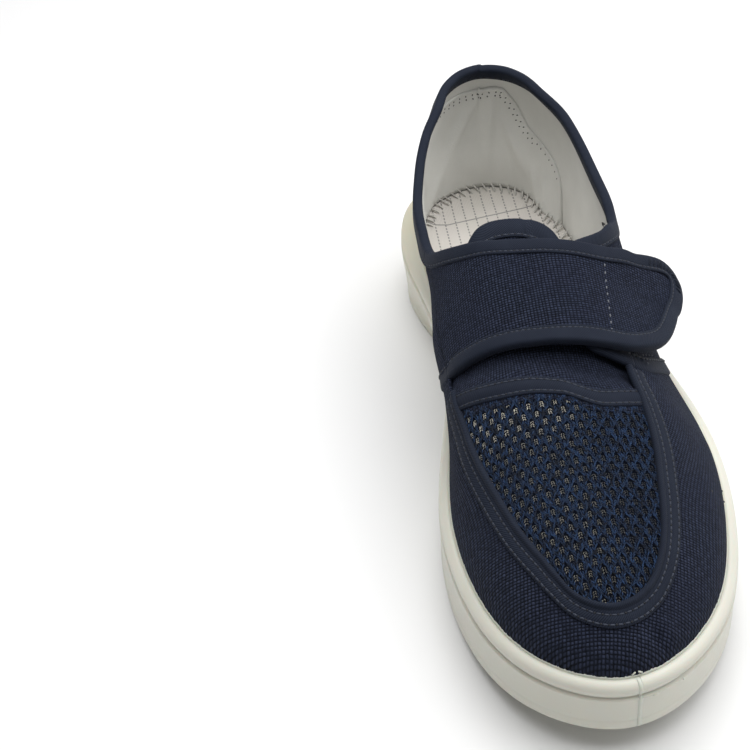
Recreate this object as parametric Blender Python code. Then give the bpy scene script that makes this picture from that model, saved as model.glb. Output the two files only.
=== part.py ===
"""Left work shoe: moulded sole, canvas upper with a mesh plug, tongue and hook-and-loop strap.

Tables are in millimetres.  A place on the foot is given by x (across, lateral positive), the
station s (from the sole's heel back toward the toe) and z (up from the floor).
"""

import bmesh
import bpy
import numpy as np

MM = 0.001

# Driving sizes
RIM = 4.2           # sole rim standing out past the upper
WALL = 2.0          # canvas with its lining
GAP = 0.3           # between neighbouring pieces
TAPE = 0.7          # binding tape
INSOLE = 3.0
STRAP_WALL = 2.2
COLLAR_TAPE = 5.5   # width of the tape on each side of the collar's edge
COLLAR_END = 110    # ridge station of the tape's ends
APRON_TAPE = 7.5
FLAP_TAPE = 5.5
TONGUE_TAPE = 8.0
GROOVE_WIDTH = 4.0
GROOVE_DEPTH = 2.5
GROOVE_INSET = 9.0
RING = 84           # steps round the shoe

# Outer line of the sole: place, station, across
OUTLINE = [
    ("heel_back", 0, 2), ("heel_corner_lateral", 14, 25.5), ("heel_side_lateral", 48, 36.5),
    ("waist_lateral", 115, 42.5), ("ball_lateral", 180, 53), ("toe_side_lateral", 228, 47),
    ("toe_corner_lateral", 265, 29.5), ("toe_tip", 285, -6), ("toe_corner_medial", 271, -31.5),
    ("toe_side_medial", 241, -45.5), ("ball_medial", 200, -48.5), ("waist_medial", 125, -35.5),
    ("heel_side_medial", 48, -39), ("heel_corner_medial", 14, -28),
]

# Sole heights: station, underside, rim, cup floor
SOLE = np.array([
    (0, 1.5, 37.5, 23.0), (14, 0, 36.8, 23.0), (48, 0, 34.5, 22.5), (88, 0, 31.2, 20.0),
    (122, 3.0, 29.0, 17.0), (158, 0, 28.0, 14.5), (208, 0, 27.2, 13.0), (240, 3.2, 27.6, 14.5),
    (265, 7.5, 29.8, 18.0), (285, 11.5, 32.6, 22.0),
], float)

# Side of the sole from the floor up: place, out from the outer line, height, measured from
SOLE_SIDE = [
    ("foot", -1.4, 0.0, "underside"), ("band_low", -0.1, 1.2, "underside"),
    ("band_top", 0.0, 4.0, "underside"), ("line", -0.7, 4.6, "underside"),
    ("wall_top", -0.1, -6.9, "rim"), ("groove_low", -1.1, -6.0, "rim"),
    ("groove_top", -1.1, -5.5, "rim"), ("bead_low", -0.5, -4.5, "rim"),
    ("bead", -0.2, -3.2, "rim"), ("bead_high", -0.8, -1.5, "rim"),
    ("rim_out", -1.8, -0.5, "rim"), ("rim_top", -2.9, 0.0, "rim"),
    ("rim_in", GAP - RIM, -0.5, "rim"), ("cup", GAP - RIM, 0.0, "floor"),
]

# Flare and tuck of the sole's medial side: station, outward at the bead and the wall's top, at the floor
SOLE_FLARE = np.array([
    (0, 0, 0), (12, 1.5, 1.5), (28, 3.2, 2.5), (46, 3.6, 2), (62, 2.8, -0.5), (78, 1.2, -4),
    (98, 0, -6), (128, -0.5, -6), (150, 0, -1.5), (172, 0, 0), (285, 0, 0),
], float)
BEAD_HALF = 3.0      # the flare fades out over this height below the rim
RIM_TOP = 2.6        # and the rim's top, this far in, keeps to the upper

# Where the section through a station of the feather line reaches the ridge: station, ridge station
RAYS = np.array([
    (4.2, 48), (60, 66), (120, 120), (150, 149.5), (180, 178), (215, 204), (255, 225), (280.8, 232),
], float)

# Ridge of the last: ridge station, across, height, fullness lateral, fullness medial
RIDGE = np.array([
    (48, 1, 109, 3.1, 3.3), (58, 1, 107, 3.2, 3.3), (70, 1, 104.5, 3.4, 4.2), (90, 0, 100, 3.8, 5.5),
    (110, -1, 94, 2.9, 5.8), (132, -2, 86.5, 2.0, 5.0), (150, -3, 80.5, 1.2, 4.0),
    (165, -3.5, 75.5, 1.1, 3.3), (180, -4, 70.5, 1.2, 2.7), (190, -4, 66.5, 1.5, 2.4),
    (210, -4.5, 60.8, 1.8, 2.0), (232, -5, 56, 1.8, 1.8),
], float)

# Upper's top edge: station, rise above the feather line lateral, medial
TOP_EDGE = np.array([
    (4.2, 53.4, 53.4), (18, 53.4, 52.4), (44, 48.3, 47.3), (80, 43.2, 41.2), (108, 43.2, 41.2),
    (122, 43.1, 41), (136, 42.8, 39.5), (150, 43.2, 36.5), (166, 44.2, 31), (182, 43, 26.2),
    (200, 39.5, 25.1), (219, 36, 25.5), (236, 33, 25.9), (248, 30.2, 26), (258, 27, 25.7),
    (268, 23.3, 23.9), (276, 20.2, 20.6), (280.8, 19.2, 19.2),
], float)

# Swell of the heel: station, outward
HEEL_SWELL = np.array([(4.2, 3.0), (25, 2.4), (60, 1.0), (100, 0.0), (280.8, 0.0)], float)

# Lean of the heel toward its collar: station, inward at the height of the ridge
HEEL_PINCH = np.array([
    (4.2, 3.0), (12, 9.0), (25, 14.5), (45, 5.5), (80, 0.0), (280.8, 0.0),
], float)

# Swell of the medial quarter over the sole's waist: station, outward
WAIST_SWELL = np.array([
    (4.2, 0), (30, -3), (60, 0.5), (90, 6.5), (115, 8), (145, 8), (170, 3), (195, 0), (280.8, 0),
], float)

# Back edge of the mesh plug: reach from the ridge, ridge station
THROAT = np.array([
    (-42, 177.5), (-24, 183.5), (-10, 186.5), (0, 189.5), (12, 193), (21, 191.5), (36, 187.5),
], float)

# Strap, from its root on the medial quarter to its free end: part of the way, front edge, rear edge
STRAP = np.array([
    (0, 167.5, 114), (0.1, 169.3, 122), (0.2, 170.8, 128.5), (0.3, 172.3, 132.5), (0.42, 174.2, 135),
    (0.55, 175.5, 137), (0.66, 175.2, 136), (0.76, 173, 133.2), (0.85, 168.5, 131), (0.92, 160, 129.5),
    (1, 150, 127),
], float)
STRAP_TIP = 53.5       # reach of the free end
STRAP_LIFT = np.array([(-60, -2), (-30, -2), (0, 0.8), (10, 2.0), (24, 3.0), (36, 5.5), (48, 10.0), (62, 17.0)], float)

# Closure tab, from its root on the lateral quarter toward the ridge: part of the way, front, rear
TAB = np.array([
    (0, 180.5, 112), (0.06, 180.2, 113.5), (0.18, 179.5, 117), (0.33, 178.4, 123.5), (0.5, 177.2, 128),
    (0.72, 175.8, 132), (1, 173, 136),
], float)
TAB_TIP = 9.0

# Tongue, from the throat to its top: part of the way, edge lateral, edge medial
TONGUE = np.array([(0, 33, -46), (0.2, 33, -47), (0.5, 27, -42), (0.8, 12, -32), (1, 10, -30)], float)
TONGUE_TOP = 121.5
TONGUE_LAP = 5.0       # run under the plug

# Tread: first and last station of each field of cross grooves, count
TREAD = [("heel", 22, 74, 5), ("forefoot", 164, 244, 7)]

# Colours: piece, linear red, green, blue, roughness
LOOKS = {
    "sole": (0.74, 0.72, 0.64, 0.5), "insole": (0.62, 0.55, 0.47, 0.9),
    "upper": (0.013, 0.018, 0.034, 0.9),
    "vamp_mesh": (0.012, 0.022, 0.055, 0.8), "apron_binding": (0.022, 0.028, 0.045, 0.9),
    "throat_tape": (0.022, 0.028, 0.045, 0.9), "tongue": (0.013, 0.018, 0.034, 0.9),
    "tongue_binding": (0.022, 0.028, 0.045, 0.9), "closure_tab": (0.013, 0.018, 0.034, 0.9),
    "tab_binding": (0.022, 0.028, 0.045, 0.9), "strap": (0.013, 0.018, 0.034, 0.9),
    "strap_binding": (0.022, 0.028, 0.045, 0.9), "collar_binding": (0.022, 0.028, 0.045, 0.9),
}


def smooth(table, column, at):
    """Value of one column at the given stations, on a curve that never overshoots its rows."""
    x = table[:, 0]
    y = table[:, column]
    step = np.diff(x)
    rise = np.diff(y) / step
    slope = np.zeros(len(x))
    slope[0] = rise[0]
    slope[-1] = rise[-1]
    for i in range(1, len(x) - 1):
        if rise[i - 1] * rise[i] > 0:
            before = 2 * step[i] + step[i - 1]
            after = step[i] + 2 * step[i - 1]
            slope[i] = (before + after) / (before / rise[i - 1] + after / rise[i])
    at = np.clip(at, x[0], x[-1])
    k = np.clip(np.searchsorted(x, at, side="right") - 1, 0, len(x) - 2)
    t = (at - x[k]) / step[k]
    start = (1 + 2 * t) * (1 - t) ** 2 * y[k] + t * (1 - t) ** 2 * step[k] * slope[k]
    end = t * t * (3 - 2 * t) * y[k + 1] + t * t * (t - 1) * step[k] * slope[k + 1]
    return start + end


def closed_spline(points, per_span):
    """Points along the smooth closed curve through the given ones."""
    points = np.array(points, float)
    count = len(points)
    ahead = np.roll(points, -1, axis=0)
    chord = np.linalg.norm(ahead - points, axis=1)
    system = np.zeros((count, count))
    right = np.zeros((count, 2))
    for i in range(count):
        system[i, i - 1] += chord[i - 1]
        system[i, i] += 2 * (chord[i - 1] + chord[i])
        system[i, (i + 1) % count] += chord[i]
        right[i] = 6 * ((ahead[i] - points[i]) / chord[i] - (points[i] - points[i - 1]) / chord[i - 1])
    bend = np.linalg.solve(system, right)
    spans = []
    t = np.linspace(0, 1, per_span, endpoint=False)[:, None]
    for i in range(count):
        near, far = bend[i], bend[(i + 1) % count]
        curve = (1 - t) * points[i] + t * ahead[i]
        curve = curve + chord[i] ** 2 / 6 * (((1 - t) ** 3 - (1 - t)) * near + (t ** 3 - t) * far)
        spans.append(curve)
    return np.vstack(spans)


def walk_outline():
    """Outer line as u, across, station and outward direction.

    u is 0 at the heel and 0.5 at the toe, even along the lateral feather line; 1 - u is the medial
    place whose feather line has the same station.
    """
    line = closed_spline([(row[1], row[2]) for row in OUTLINE], 200)
    line = np.roll(line, -int(np.argmin(line[:, 0])), axis=0)
    line = np.vstack([line, line[:1]])
    along = np.roll(line[:-1], -1, axis=0) - np.roll(line[:-1], 1, axis=0)
    along = np.vstack([along, along[:1]])
    along = along / np.linalg.norm(along, axis=1)[:, None]
    outward = np.stack([-along[:, 1], along[:, 0]], axis=-1)
    feather = line - RIM * outward
    toe = int(np.argmax(feather[:, 0]))
    steps = np.linalg.norm(np.diff(feather[:toe + 1], axis=0), axis=1)
    length = np.concatenate([[0], np.cumsum(steps)])
    lateral = 0.5 * length / length[-1]
    medial = 1 - np.interp(feather[toe + 1:, 0], feather[:toe + 1, 0], lateral)
    medial[-1] = 1.0
    return np.concatenate([lateral, medial]), line[:, 1], line[:, 0], outward[:, 1], outward[:, 0]


EDGE_U, EDGE_X, EDGE_S, OUT_X, OUT_S = walk_outline()
MID_X = (EDGE_X.max() + EDGE_X.min()) / 2
MID_S = (EDGE_S.max() + EDGE_S.min()) / 2


def edge(u, out):
    """Across and station of the sole's outer line, moved outward."""
    u = np.mod(u, 1.0)
    x = np.interp(u, EDGE_U, EDGE_X) + out * np.interp(u, EDGE_U, OUT_X)
    s = np.interp(u, EDGE_U, EDGE_S) + out * np.interp(u, EDGE_U, OUT_S)
    return x, s


def skin(u, v):
    """Point of the upper's outer face; v runs from 0 at the feather line to 1 at the ridge."""
    x, s = edge(u, -RIM)
    low = smooth(SOLE, 2, s)
    ridge = smooth(RAYS, 1, s)
    top = smooth(RIDGE, 2, ridge)
    slope = (smooth(RIDGE, 2, ridge + 1) - smooth(RIDGE, 2, ridge - 1)) / 2
    lateral = np.mod(u, 1.0) <= 0.5
    fullness = np.where(lateral, smooth(RIDGE, 3, ridge), smooth(RIDGE, 4, ridge))
    turn = np.clip(v, 0, 1) * np.pi / 2
    inward = 1 - np.cos(turn) ** (2 / np.maximum(fullness, 2))
    upward = np.sin(turn) ** (2 / fullness)
    tilt = slope * (s - ridge)
    swell = smooth(HEEL_SWELL, 1, s) * np.sin(np.pi * np.clip(upward, 0, 1)) ** 2
    swell = swell - smooth(HEEL_PINCH, 1, s) * np.clip(upward, 0, 1) ** 3
    waist = np.sin(np.pi * np.clip(upward, 0, 1) ** 1.2) ** 2
    swell = swell + np.where(lateral, 0, smooth(WAIST_SWELL, 1, s) * waist)
    out_x = np.interp(np.mod(u, 1.0), EDGE_U, OUT_X)
    out_s = np.interp(np.mod(u, 1.0), EDGE_U, OUT_S)
    return np.stack([
        x + (smooth(RIDGE, 1, ridge) - x) * inward + swell * out_x,
        s + (ridge - s) * inward + swell * out_s,
        low + (top - low) * upward + tilt * inward * (1 - inward),
    ], axis=-1)


# Each section line measured along itself, so that places on the upper are given in millimetres
GRID_U = np.linspace(0, 1, 721)
GRID_PART = np.linspace(0, 1, 161)


def measure_sections():
    """Length of each section, and its v at even parts of the length."""
    v = np.linspace(0, 1, 801)
    lengths = []
    even_v = []
    for u in GRID_U:
        points = skin(np.full_like(v, u), v)
        run = np.concatenate([[0], np.cumsum(np.linalg.norm(np.diff(points, axis=0), axis=1))])
        lengths.append(run[-1])
        even_v.append(np.interp(GRID_PART * run[-1], run, v))
    return np.array(lengths), np.array(even_v)


SECTION_LENGTH, SECTION_V = measure_sections()


def section_length(u):
    return np.interp(np.mod(u, 1.0), GRID_U, SECTION_LENGTH)


def top_rise(u):
    """Rise of the upper's top edge above the feather line, along the section."""
    station = edge(u, -RIM)[1]
    lateral = np.mod(u, 1.0) <= 0.5
    return np.where(lateral, smooth(TOP_EDGE, 1, station), smooth(TOP_EDGE, 2, station))


def v_at(u, rise):
    """Section parameter at a rise in millimetres."""
    u = np.mod(u, 1.0)
    part = np.clip(rise / section_length(u), 0, 1) * (len(GRID_PART) - 1)
    i = np.clip((u * (len(GRID_U) - 1)).astype(int), 0, len(GRID_U) - 2)
    k = np.clip(part.astype(int), 0, len(GRID_PART) - 2)
    du = u * (len(GRID_U) - 1) - i
    dk = part - k
    near = SECTION_V[i, k] * (1 - dk) + SECTION_V[i, k + 1] * dk
    far = SECTION_V[i + 1, k] * (1 - dk) + SECTION_V[i + 1, k + 1] * dk
    return near * (1 - du) + far * du


def base(u, rise):
    """Point at a rise above the feather line; below it the wall goes straight down."""
    point = skin(u, v_at(u, np.maximum(rise, 0)))
    point[..., 2] += np.minimum(rise, 0)
    return point


def place(u, rise, out):
    """Point standing off the upper's outer face by out."""
    u, rise, out = [np.asarray(value, float) for value in np.broadcast_arrays(u, rise, out)]
    lower = np.clip(rise - 0.5, None, section_length(u) - 1.2)
    round_step = base(u + 0.0015, lower + 0.5) - base(u - 0.0015, lower + 0.5)
    up_step = base(u, lower + 1.0) - base(u, lower)
    normal = np.cross(round_step, up_step)
    normal = normal / np.linalg.norm(normal, axis=-1)[..., None]
    return base(u, rise) + out[..., None] * normal


# Ridge stations against u, to look places up from the ridge
HALF_U = np.linspace(0, 0.5, 1201)
RIDGE_AT = smooth(RAYS, 1, edge(HALF_U, -RIM)[1])


def side_u(ridge, reach):
    """u of the section that meets the ridge at a station, on the side the reach points to."""
    lateral = np.interp(ridge, RIDGE_AT, HALF_U)
    return np.where(np.asarray(reach) >= 0, lateral, 1 - lateral)


def instep(ridge, reach, out):
    """Point given by its ridge station and its reach down from the ridge, lateral positive."""
    ridge, reach = np.broadcast_arrays(np.asarray(ridge, float), np.asarray(reach, float))
    u = side_u(ridge, reach)
    return place(u, section_length(u) - np.abs(reach), out)


def edge_reach(ridge, side):
    """Reach of the upper's top edge at a ridge station; side is 1 lateral, -1 medial."""
    u = side_u(ridge, side)
    return side * (section_length(u) - top_rise(u))


def toeward(first):
    """Ridge stations of the ring's steps from a first station to the toe."""
    steps = np.interp(np.arange(RING // 2 + 1) / RING, HALF_U, RIDGE_AT)
    return np.concatenate([[first], steps[steps > first + 1.5]])


# Flaps in the plane of ridge station and reach
def rounded_run(root, count, start, round_count, power):
    """Parts of the way along a flap and its width there: fine root, body, end rounded past start."""
    turn = np.linspace(0, np.pi / 2, round_count + 1)[1:]
    fine = np.linspace(0, root, 5)[:-1]
    body = np.linspace(root, start, count)
    along = np.concatenate([fine, body, start + (1 - start) * np.sin(turn) ** (2 / power)])
    width = np.concatenate([np.ones(count + 4), np.cos(turn) ** (2 / power)])
    width[-1] = 0.0
    return along, width


def strap_plane(along, across):
    """Ridge station and reach of a place on the strap; across is -1 at the front and 1 at the rear."""
    front = smooth(STRAP, 1, along)
    rear = smooth(STRAP, 2, along)
    ridge = (front + rear) / 2 + across * (rear - front) / 2
    root = edge_reach(ridge, -1) + GAP
    return ridge, root + along * (STRAP_TIP - root)


def strap_lift(ridge, reach):
    """Height of the strap's underside above the upper's outer face: off the wall, up over the tab."""
    return smooth(STRAP_LIFT, 1, reach)


def tab_plane(along, across):
    """Ridge station and reach of a place on the closure tab."""
    front = smooth(TAB, 1, along)
    rear = smooth(TAB, 2, along)
    ridge = (front + rear) / 2 + across * (rear - front) / 2
    root = edge_reach(ridge, 1) - GAP
    return ridge, root + along * (TAB_TIP - root)


def tab_lift(ridge, reach):
    """The tab carries on the upper's wall."""
    return np.full(np.shape(reach), -WALL)


def tongue_plane(along, across):
    """Ridge station and reach of a place on the tongue; across is -1 medial and 1 lateral."""
    lateral = smooth(TONGUE, 1, along)
    medial = smooth(TONGUE, 2, along)
    reach = (lateral + medial) / 2 + across * (lateral - medial) / 2
    first = smooth(THROAT, 1, reach) + TONGUE_LAP
    return first + along * (TONGUE_TOP - first), reach


def tongue_lift(ridge, reach):
    """The tongue lies under the upper's wall, with room for its tape."""
    return np.full(np.shape(reach), -2 * WALL - TAPE - 3 * GAP)


def flap_faces(plane, lift, thickness, run, columns):
    """Outer and inner grids of a flap."""
    along, width = run
    across = np.linspace(-1, 1, columns)
    ridge, reach = plane(along[:, None] + 0 * across, width[:, None] * across)
    under = lift(ridge, reach)
    return instep(ridge, reach, under + thickness), instep(ridge, reach, under)


def flap_border(plane, run):
    """Border of a flap in its plane, from front to rear round the free end, with inward steps."""
    along, width = run[0][1:], run[1][1:]
    there = np.stack(plane(along, -width), axis=-1)
    back = np.stack(plane(along[::-1], width[::-1]), axis=-1)[1:]
    line = np.vstack([there, back])
    step = np.gradient(line, axis=0)
    step = step / np.linalg.norm(step, axis=1)[:, None]
    inward = np.stack([-step[:, 1], step[:, 0]], axis=-1)
    middle = np.array(plane(np.array(0.5), np.array(0.0)))
    near = len(along) // 3
    if np.dot(inward[near], middle - line[near]) < 0:
        inward = -inward
    return line, inward


def flap_tape(plane, lift, thickness, width, run):
    """Tape over a flap's edge: rings of a section that laps the outer face and covers the edge."""
    line, inward = flap_border(plane, run)
    low = GAP + 0.1
    high = low + TAPE
    section = [(width, low), (width, high), (-GAP - TAPE, high), (-GAP - TAPE, -thickness),
               (-GAP, -thickness), (-GAP, low), (width / 3, low), (2 * width / 3, low)]
    rings = []
    for inside, above in section:
        ridge, reach = (line + inside * inward).T
        rings.append(instep(ridge, reach, lift(ridge, reach) + thickness + above))
    return np.stack(rings, axis=1)


# Turning grids into closed solids
def to_metres(points):
    """Blender coordinates: the toe toward -Y, the middle of the sole's outer line on the axis."""
    points = np.asarray(points, float)
    return np.stack([points[..., 0] - MID_X, MID_S - points[..., 1], points[..., 2]], axis=-1) * MM


def finish_solid(name, mesh_data, collection):
    """Weld, face outward and add one named object with its own material."""
    bmesh.ops.remove_doubles(mesh_data, verts=mesh_data.verts, dist=2e-6)
    bmesh.ops.dissolve_degenerate(mesh_data, edges=mesh_data.edges, dist=2e-6)
    bmesh.ops.triangulate(mesh_data, faces=[f for f in mesh_data.faces if len(f.verts) > 4])
    bmesh.ops.recalc_face_normals(mesh_data, faces=mesh_data.faces)
    mesh = bpy.data.meshes.new(name)
    mesh_data.to_mesh(mesh)
    mesh_data.free()
    for polygon in mesh.polygons:
        polygon.use_smooth = True
    material = bpy.data.materials.new(name)
    material.use_nodes = True
    shader = material.node_tree.nodes["Principled BSDF"]
    red, green, blue, roughness = LOOKS[name]
    shader.inputs["Base Color"].default_value = (red, green, blue, 1)
    shader.inputs["Roughness"].default_value = roughness
    mesh.materials.append(material)
    thing = bpy.data.objects.new(name, mesh)
    collection.objects.link(thing)
    return thing


def add_grid(mesh_data, points, wrap):
    """Vertices of a grid and the faces between them; wrap joins the last row to the first."""
    rows, columns = points.shape[:2]
    verts = [[mesh_data.verts.new(co) for co in row] for row in to_metres(points)]
    for i in range(rows if wrap else rows - 1):
        j = (i + 1) % rows
        for k in range(columns - 1):
            mesh_data.faces.new((verts[i][k], verts[j][k], verts[j][k + 1], verts[i][k + 1]))
    return verts


def sheet(name, outer, inner, wrap, collection, folded_end=False):
    """Closed wall between an outer and an inner grid; a folded end closes on itself."""
    mesh_data = bmesh.new()
    face = add_grid(mesh_data, outer, wrap)
    back = add_grid(mesh_data, inner, wrap)
    rows = len(face)
    columns = len(face[0])
    for i in range(rows if wrap else rows - 1):
        j = (i + 1) % rows
        for k in (0, columns - 1):
            mesh_data.faces.new((face[i][k], face[j][k], back[j][k], back[i][k]))
    if not wrap:
        for k in range(columns - 1):
            for i in (0,) if folded_end else (0, rows - 1):
                mesh_data.faces.new((face[i][k], face[i][k + 1], back[i][k + 1], back[i][k]))
    return finish_solid(name, mesh_data, collection)


def band(name, rings, collection):
    """Closed bar through rings of one section, with flat ends."""
    mesh_data = bmesh.new()
    loops = np.concatenate([rings, rings[:, :1]], axis=1)
    verts = add_grid(mesh_data, loops, False)
    for end in (verts[0], verts[-1]):
        mesh_data.faces.new(end[:-1])
    return finish_solid(name, mesh_data, collection)


def add_lid(mesh_data, ring):
    """Strips across a ring, from each lateral vertex to its medial partner."""
    count = len(ring)
    for i in range(count // 2):
        corners = [ring[i], ring[i + 1], ring[(count - i - 1) % count], ring[(count - i) % count]]
        kept = list(dict.fromkeys(corners))
        if len(kept) > 2:
            mesh_data.faces.new(kept)


def column(name, rings, collection):
    """Closed solid from a stack of rings round the shoe, with lids of strips."""
    mesh_data = bmesh.new()
    verts = add_grid(mesh_data, np.stack(rings, axis=1), True)
    add_lid(mesh_data, [row[0] for row in verts])
    add_lid(mesh_data, [row[-1] for row in verts])
    return finish_solid(name, mesh_data, collection)


def sole_ring(u, out, height, measured_from):
    """Ring of the sole's side at a height above its underside, rim or cup floor."""
    station = edge(u, out)[1]
    under_rim = np.clip(-height / BEAD_HALF, 0, 1) * (out > -RIM_TOP)
    flare = {"underside": smooth(SOLE_FLARE, 2, station), "floor": 0,
             "rim": under_rim * smooth(SOLE_FLARE, 1, station)}[measured_from]
    x, s = edge(u, out + flare * (np.mod(u, 1.0) > 0.5))
    level = smooth(SOLE, {"underside": 1, "rim": 2, "floor": 3}[measured_from], s)
    return np.stack([x, s, level + height], axis=-1)


def cut_tread(sole, cutters):
    """Cross grooves in the sole's underside."""
    mesh_data = bmesh.new()
    for _, first, last, count in TREAD:
        for station in np.linspace(first, last, count):
            on_side = np.abs(EDGE_S - station)
            lateral = EDGE_X[EDGE_U <= 0.5][np.argmin(on_side[EDGE_U <= 0.5])] - GROOVE_INSET
            medial = EDGE_X[EDGE_U > 0.5][np.argmin(on_side[EDGE_U > 0.5])] + GROOVE_INSET
            low = smooth(SOLE, 1, station) - 6
            high = smooth(SOLE, 1, station) + GROOVE_DEPTH
            corners = [[(x, station + part * GROOVE_WIDTH / 2, z) for x, part in
                        ((medial, -1), (lateral, -1), (lateral, 1), (medial, 1), (medial, -1))]
                       for z in (low, high)]
            verts = add_grid(mesh_data, np.array(corners), False)
            for level in verts:
                mesh_data.faces.new(level[:-1])
    bmesh.ops.remove_doubles(mesh_data, verts=mesh_data.verts, dist=2e-6)
    bmesh.ops.recalc_face_normals(mesh_data, faces=mesh_data.faces)
    mesh = bpy.data.meshes.new("tread_cutter")
    mesh_data.to_mesh(mesh)
    mesh_data.free()
    cutter = bpy.data.objects.new("tread_cutter", mesh)
    cutter.display_type = "WIRE"
    cutter.hide_render = True
    cutters.objects.link(cutter)
    cut = sole.modifiers.new("tread", "BOOLEAN")
    cut.operation = "DIFFERENCE"
    cut.solver = "EXACT"
    cut.object = cutter


def build():
    for old in list(bpy.data.objects):
        bpy.data.objects.remove(old)
    shoe = bpy.data.collections.new("work_shoe")
    cutters = bpy.data.collections.new("cutters")
    bpy.context.scene.collection.children.link(shoe)
    bpy.context.scene.collection.children.link(cutters)
    u = np.arange(RING) / RING

    # Sole and insole
    side = [sole_ring(u, out, height, start) for _, out, height, start in SOLE_SIDE]
    sole = column("sole", side, shoe)
    cut_tread(sole, cutters)
    insole_out = -RIM - WALL - GAP
    column("insole", [sole_ring(u, insole_out, GAP + lift, "floor") for lift in (0, INSOLE)], shoe)

    # Upper: a wall from the cup floor to the top edge
    station = edge(u, -RIM)[1]
    bottom = smooth(SOLE, 3, station) + GAP - smooth(SOLE, 2, station)
    parts = np.linspace(0, 1, 9)
    rise = np.concatenate([bottom[:, None], top_rise(u)[:, None] * parts], axis=1)
    round_u = u[:, None] + 0 * rise
    sheet("upper", place(round_u, rise, 0), place(round_u, rise, -WALL), True, shoe)

    # Mesh plug between the apron edges
    across = np.linspace(-1, 1, 17)
    way = np.where(across >= 0, 1, -1)
    throat = smooth(THROAT, 1, across * np.abs(edge_reach(np.where(way > 0, 188.0, 179.0), way)))
    ridge = np.stack([throat] + [step + 0 * across for step in toeward(throat.max())[1:]])
    reach = across * (np.abs(edge_reach(ridge, way)) - 1.5 * GAP)
    sheet("vamp_mesh", instep(ridge, reach, 0), instep(ridge, reach, -WALL), False, shoe, folded_end=True)

    # Tape round the plug, with a roll along its inner edge
    half = APRON_TAPE / 2
    section = [(-half, GAP), (-half, GAP + TAPE), (half - 2.4, GAP + TAPE), (half - 1.6, GAP + 1.5),
               (half - 0.4, GAP + 1.5), (half, GAP), (half / 3, GAP), (-half / 3, GAP)]
    there = toeward(186.0)
    back = toeward(174.5)[::-1]
    path = np.concatenate([there, back[1:]])
    way = np.concatenate([np.ones(len(there)), -np.ones(len(back) - 1)])
    limit = edge_reach(path, way)
    rings = [instep(path, limit - way * inside, above) for inside, above in section]
    band("apron_binding", np.stack(rings, axis=1), shoe)

    # Tape across the back of the plug
    section = [(-2.3, GAP), (-2.3, GAP + TAPE), (3.2, GAP + TAPE), (3.2, GAP), (0.5, GAP)]
    way = np.where(across >= 0, 1, -1)
    rings = []
    for ahead, above in section:
        limit = np.abs(edge_reach(throat + ahead, way)) - half - GAP
        rings.append(instep(throat + ahead, across * limit, above))
    band("throat_tape", np.stack(rings, axis=1), shoe)

    # Tongue with the tape round its top
    run = rounded_run(0.2, 6, 0.8, 7, 2.2)
    sheet("tongue", *flap_faces(tongue_plane, tongue_lift, WALL, run, 11), False, shoe)
    behind_strap = run[0] > 0.8
    top_run = (run[0][behind_strap], run[1][behind_strap])
    band("tongue_binding", flap_tape(tongue_plane, tongue_lift, WALL, TONGUE_TAPE, top_run), shoe)

    # Closure tab and strap with their tapes
    run = rounded_run(0.38, 4, 0.7, 5, 2.6)
    sheet("closure_tab", *flap_faces(tab_plane, tab_lift, WALL, run, 9), False, shoe)
    band("tab_binding", flap_tape(tab_plane, tab_lift, WALL, FLAP_TAPE, run), shoe)
    run = rounded_run(0.15, 14, 0.85, 7, 2.5)
    sheet("strap", *flap_faces(strap_plane, strap_lift, STRAP_WALL, run, 9), False, shoe)
    band("strap_binding", flap_tape(strap_plane, strap_lift, STRAP_WALL, FLAP_TAPE, run), shoe)

    # Tape over the collar's edge, from one throat corner round the heel to the other
    corner = float(side_u(COLLAR_END, 1))
    steps = np.arange(-RING, RING) / RING
    path = np.concatenate([[-corner], steps[np.abs(steps) < corner - 0.3 / RING], [corner]])
    section = [(-COLLAR_TAPE, GAP), (-COLLAR_TAPE, GAP + TAPE), (GAP + TAPE, GAP + TAPE),
               (GAP + TAPE, -WALL - GAP - TAPE), (-COLLAR_TAPE, -WALL - GAP - TAPE),
               (-COLLAR_TAPE, -WALL - GAP), (GAP, -WALL - GAP), (GAP, GAP), (-COLLAR_TAPE / 2, GAP)]
    rings = [place(path, top_rise(path) + above, out) for above, out in section]
    band("collar_binding", np.stack(rings, axis=1), shoe)


build()
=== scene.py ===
"""Looks of the left work shoe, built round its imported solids.

Tables are in millimetres, in the shoe's own sizes: x across (lateral positive), the station s from
the sole's heel back toward the toe, z up from the floor.  A place on the upper is u (round the shoe,
0 at the heel and 0.5 at the toe, lateral first) and rise above the feather line, or, on the instep,
its ridge station and its reach down from the ridge (lateral positive).
"""

import itertools
import math

import bmesh
import bpy
import numpy as np
from mathutils import Matrix
from mathutils.bvhtree import BVHTree


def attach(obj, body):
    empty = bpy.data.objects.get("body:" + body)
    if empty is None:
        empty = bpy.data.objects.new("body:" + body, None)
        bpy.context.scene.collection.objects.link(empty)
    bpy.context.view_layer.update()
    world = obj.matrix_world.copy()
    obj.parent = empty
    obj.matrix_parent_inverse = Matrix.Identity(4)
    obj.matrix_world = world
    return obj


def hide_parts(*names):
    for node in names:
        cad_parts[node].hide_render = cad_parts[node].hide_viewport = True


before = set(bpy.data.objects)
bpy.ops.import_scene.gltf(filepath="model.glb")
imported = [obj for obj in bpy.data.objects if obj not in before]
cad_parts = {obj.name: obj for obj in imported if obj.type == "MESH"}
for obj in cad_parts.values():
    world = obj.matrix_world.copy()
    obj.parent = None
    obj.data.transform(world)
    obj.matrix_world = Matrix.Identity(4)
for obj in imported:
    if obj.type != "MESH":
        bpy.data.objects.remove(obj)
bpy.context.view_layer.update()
random = np.random.default_rng(11)

MM = 0.001

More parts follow.
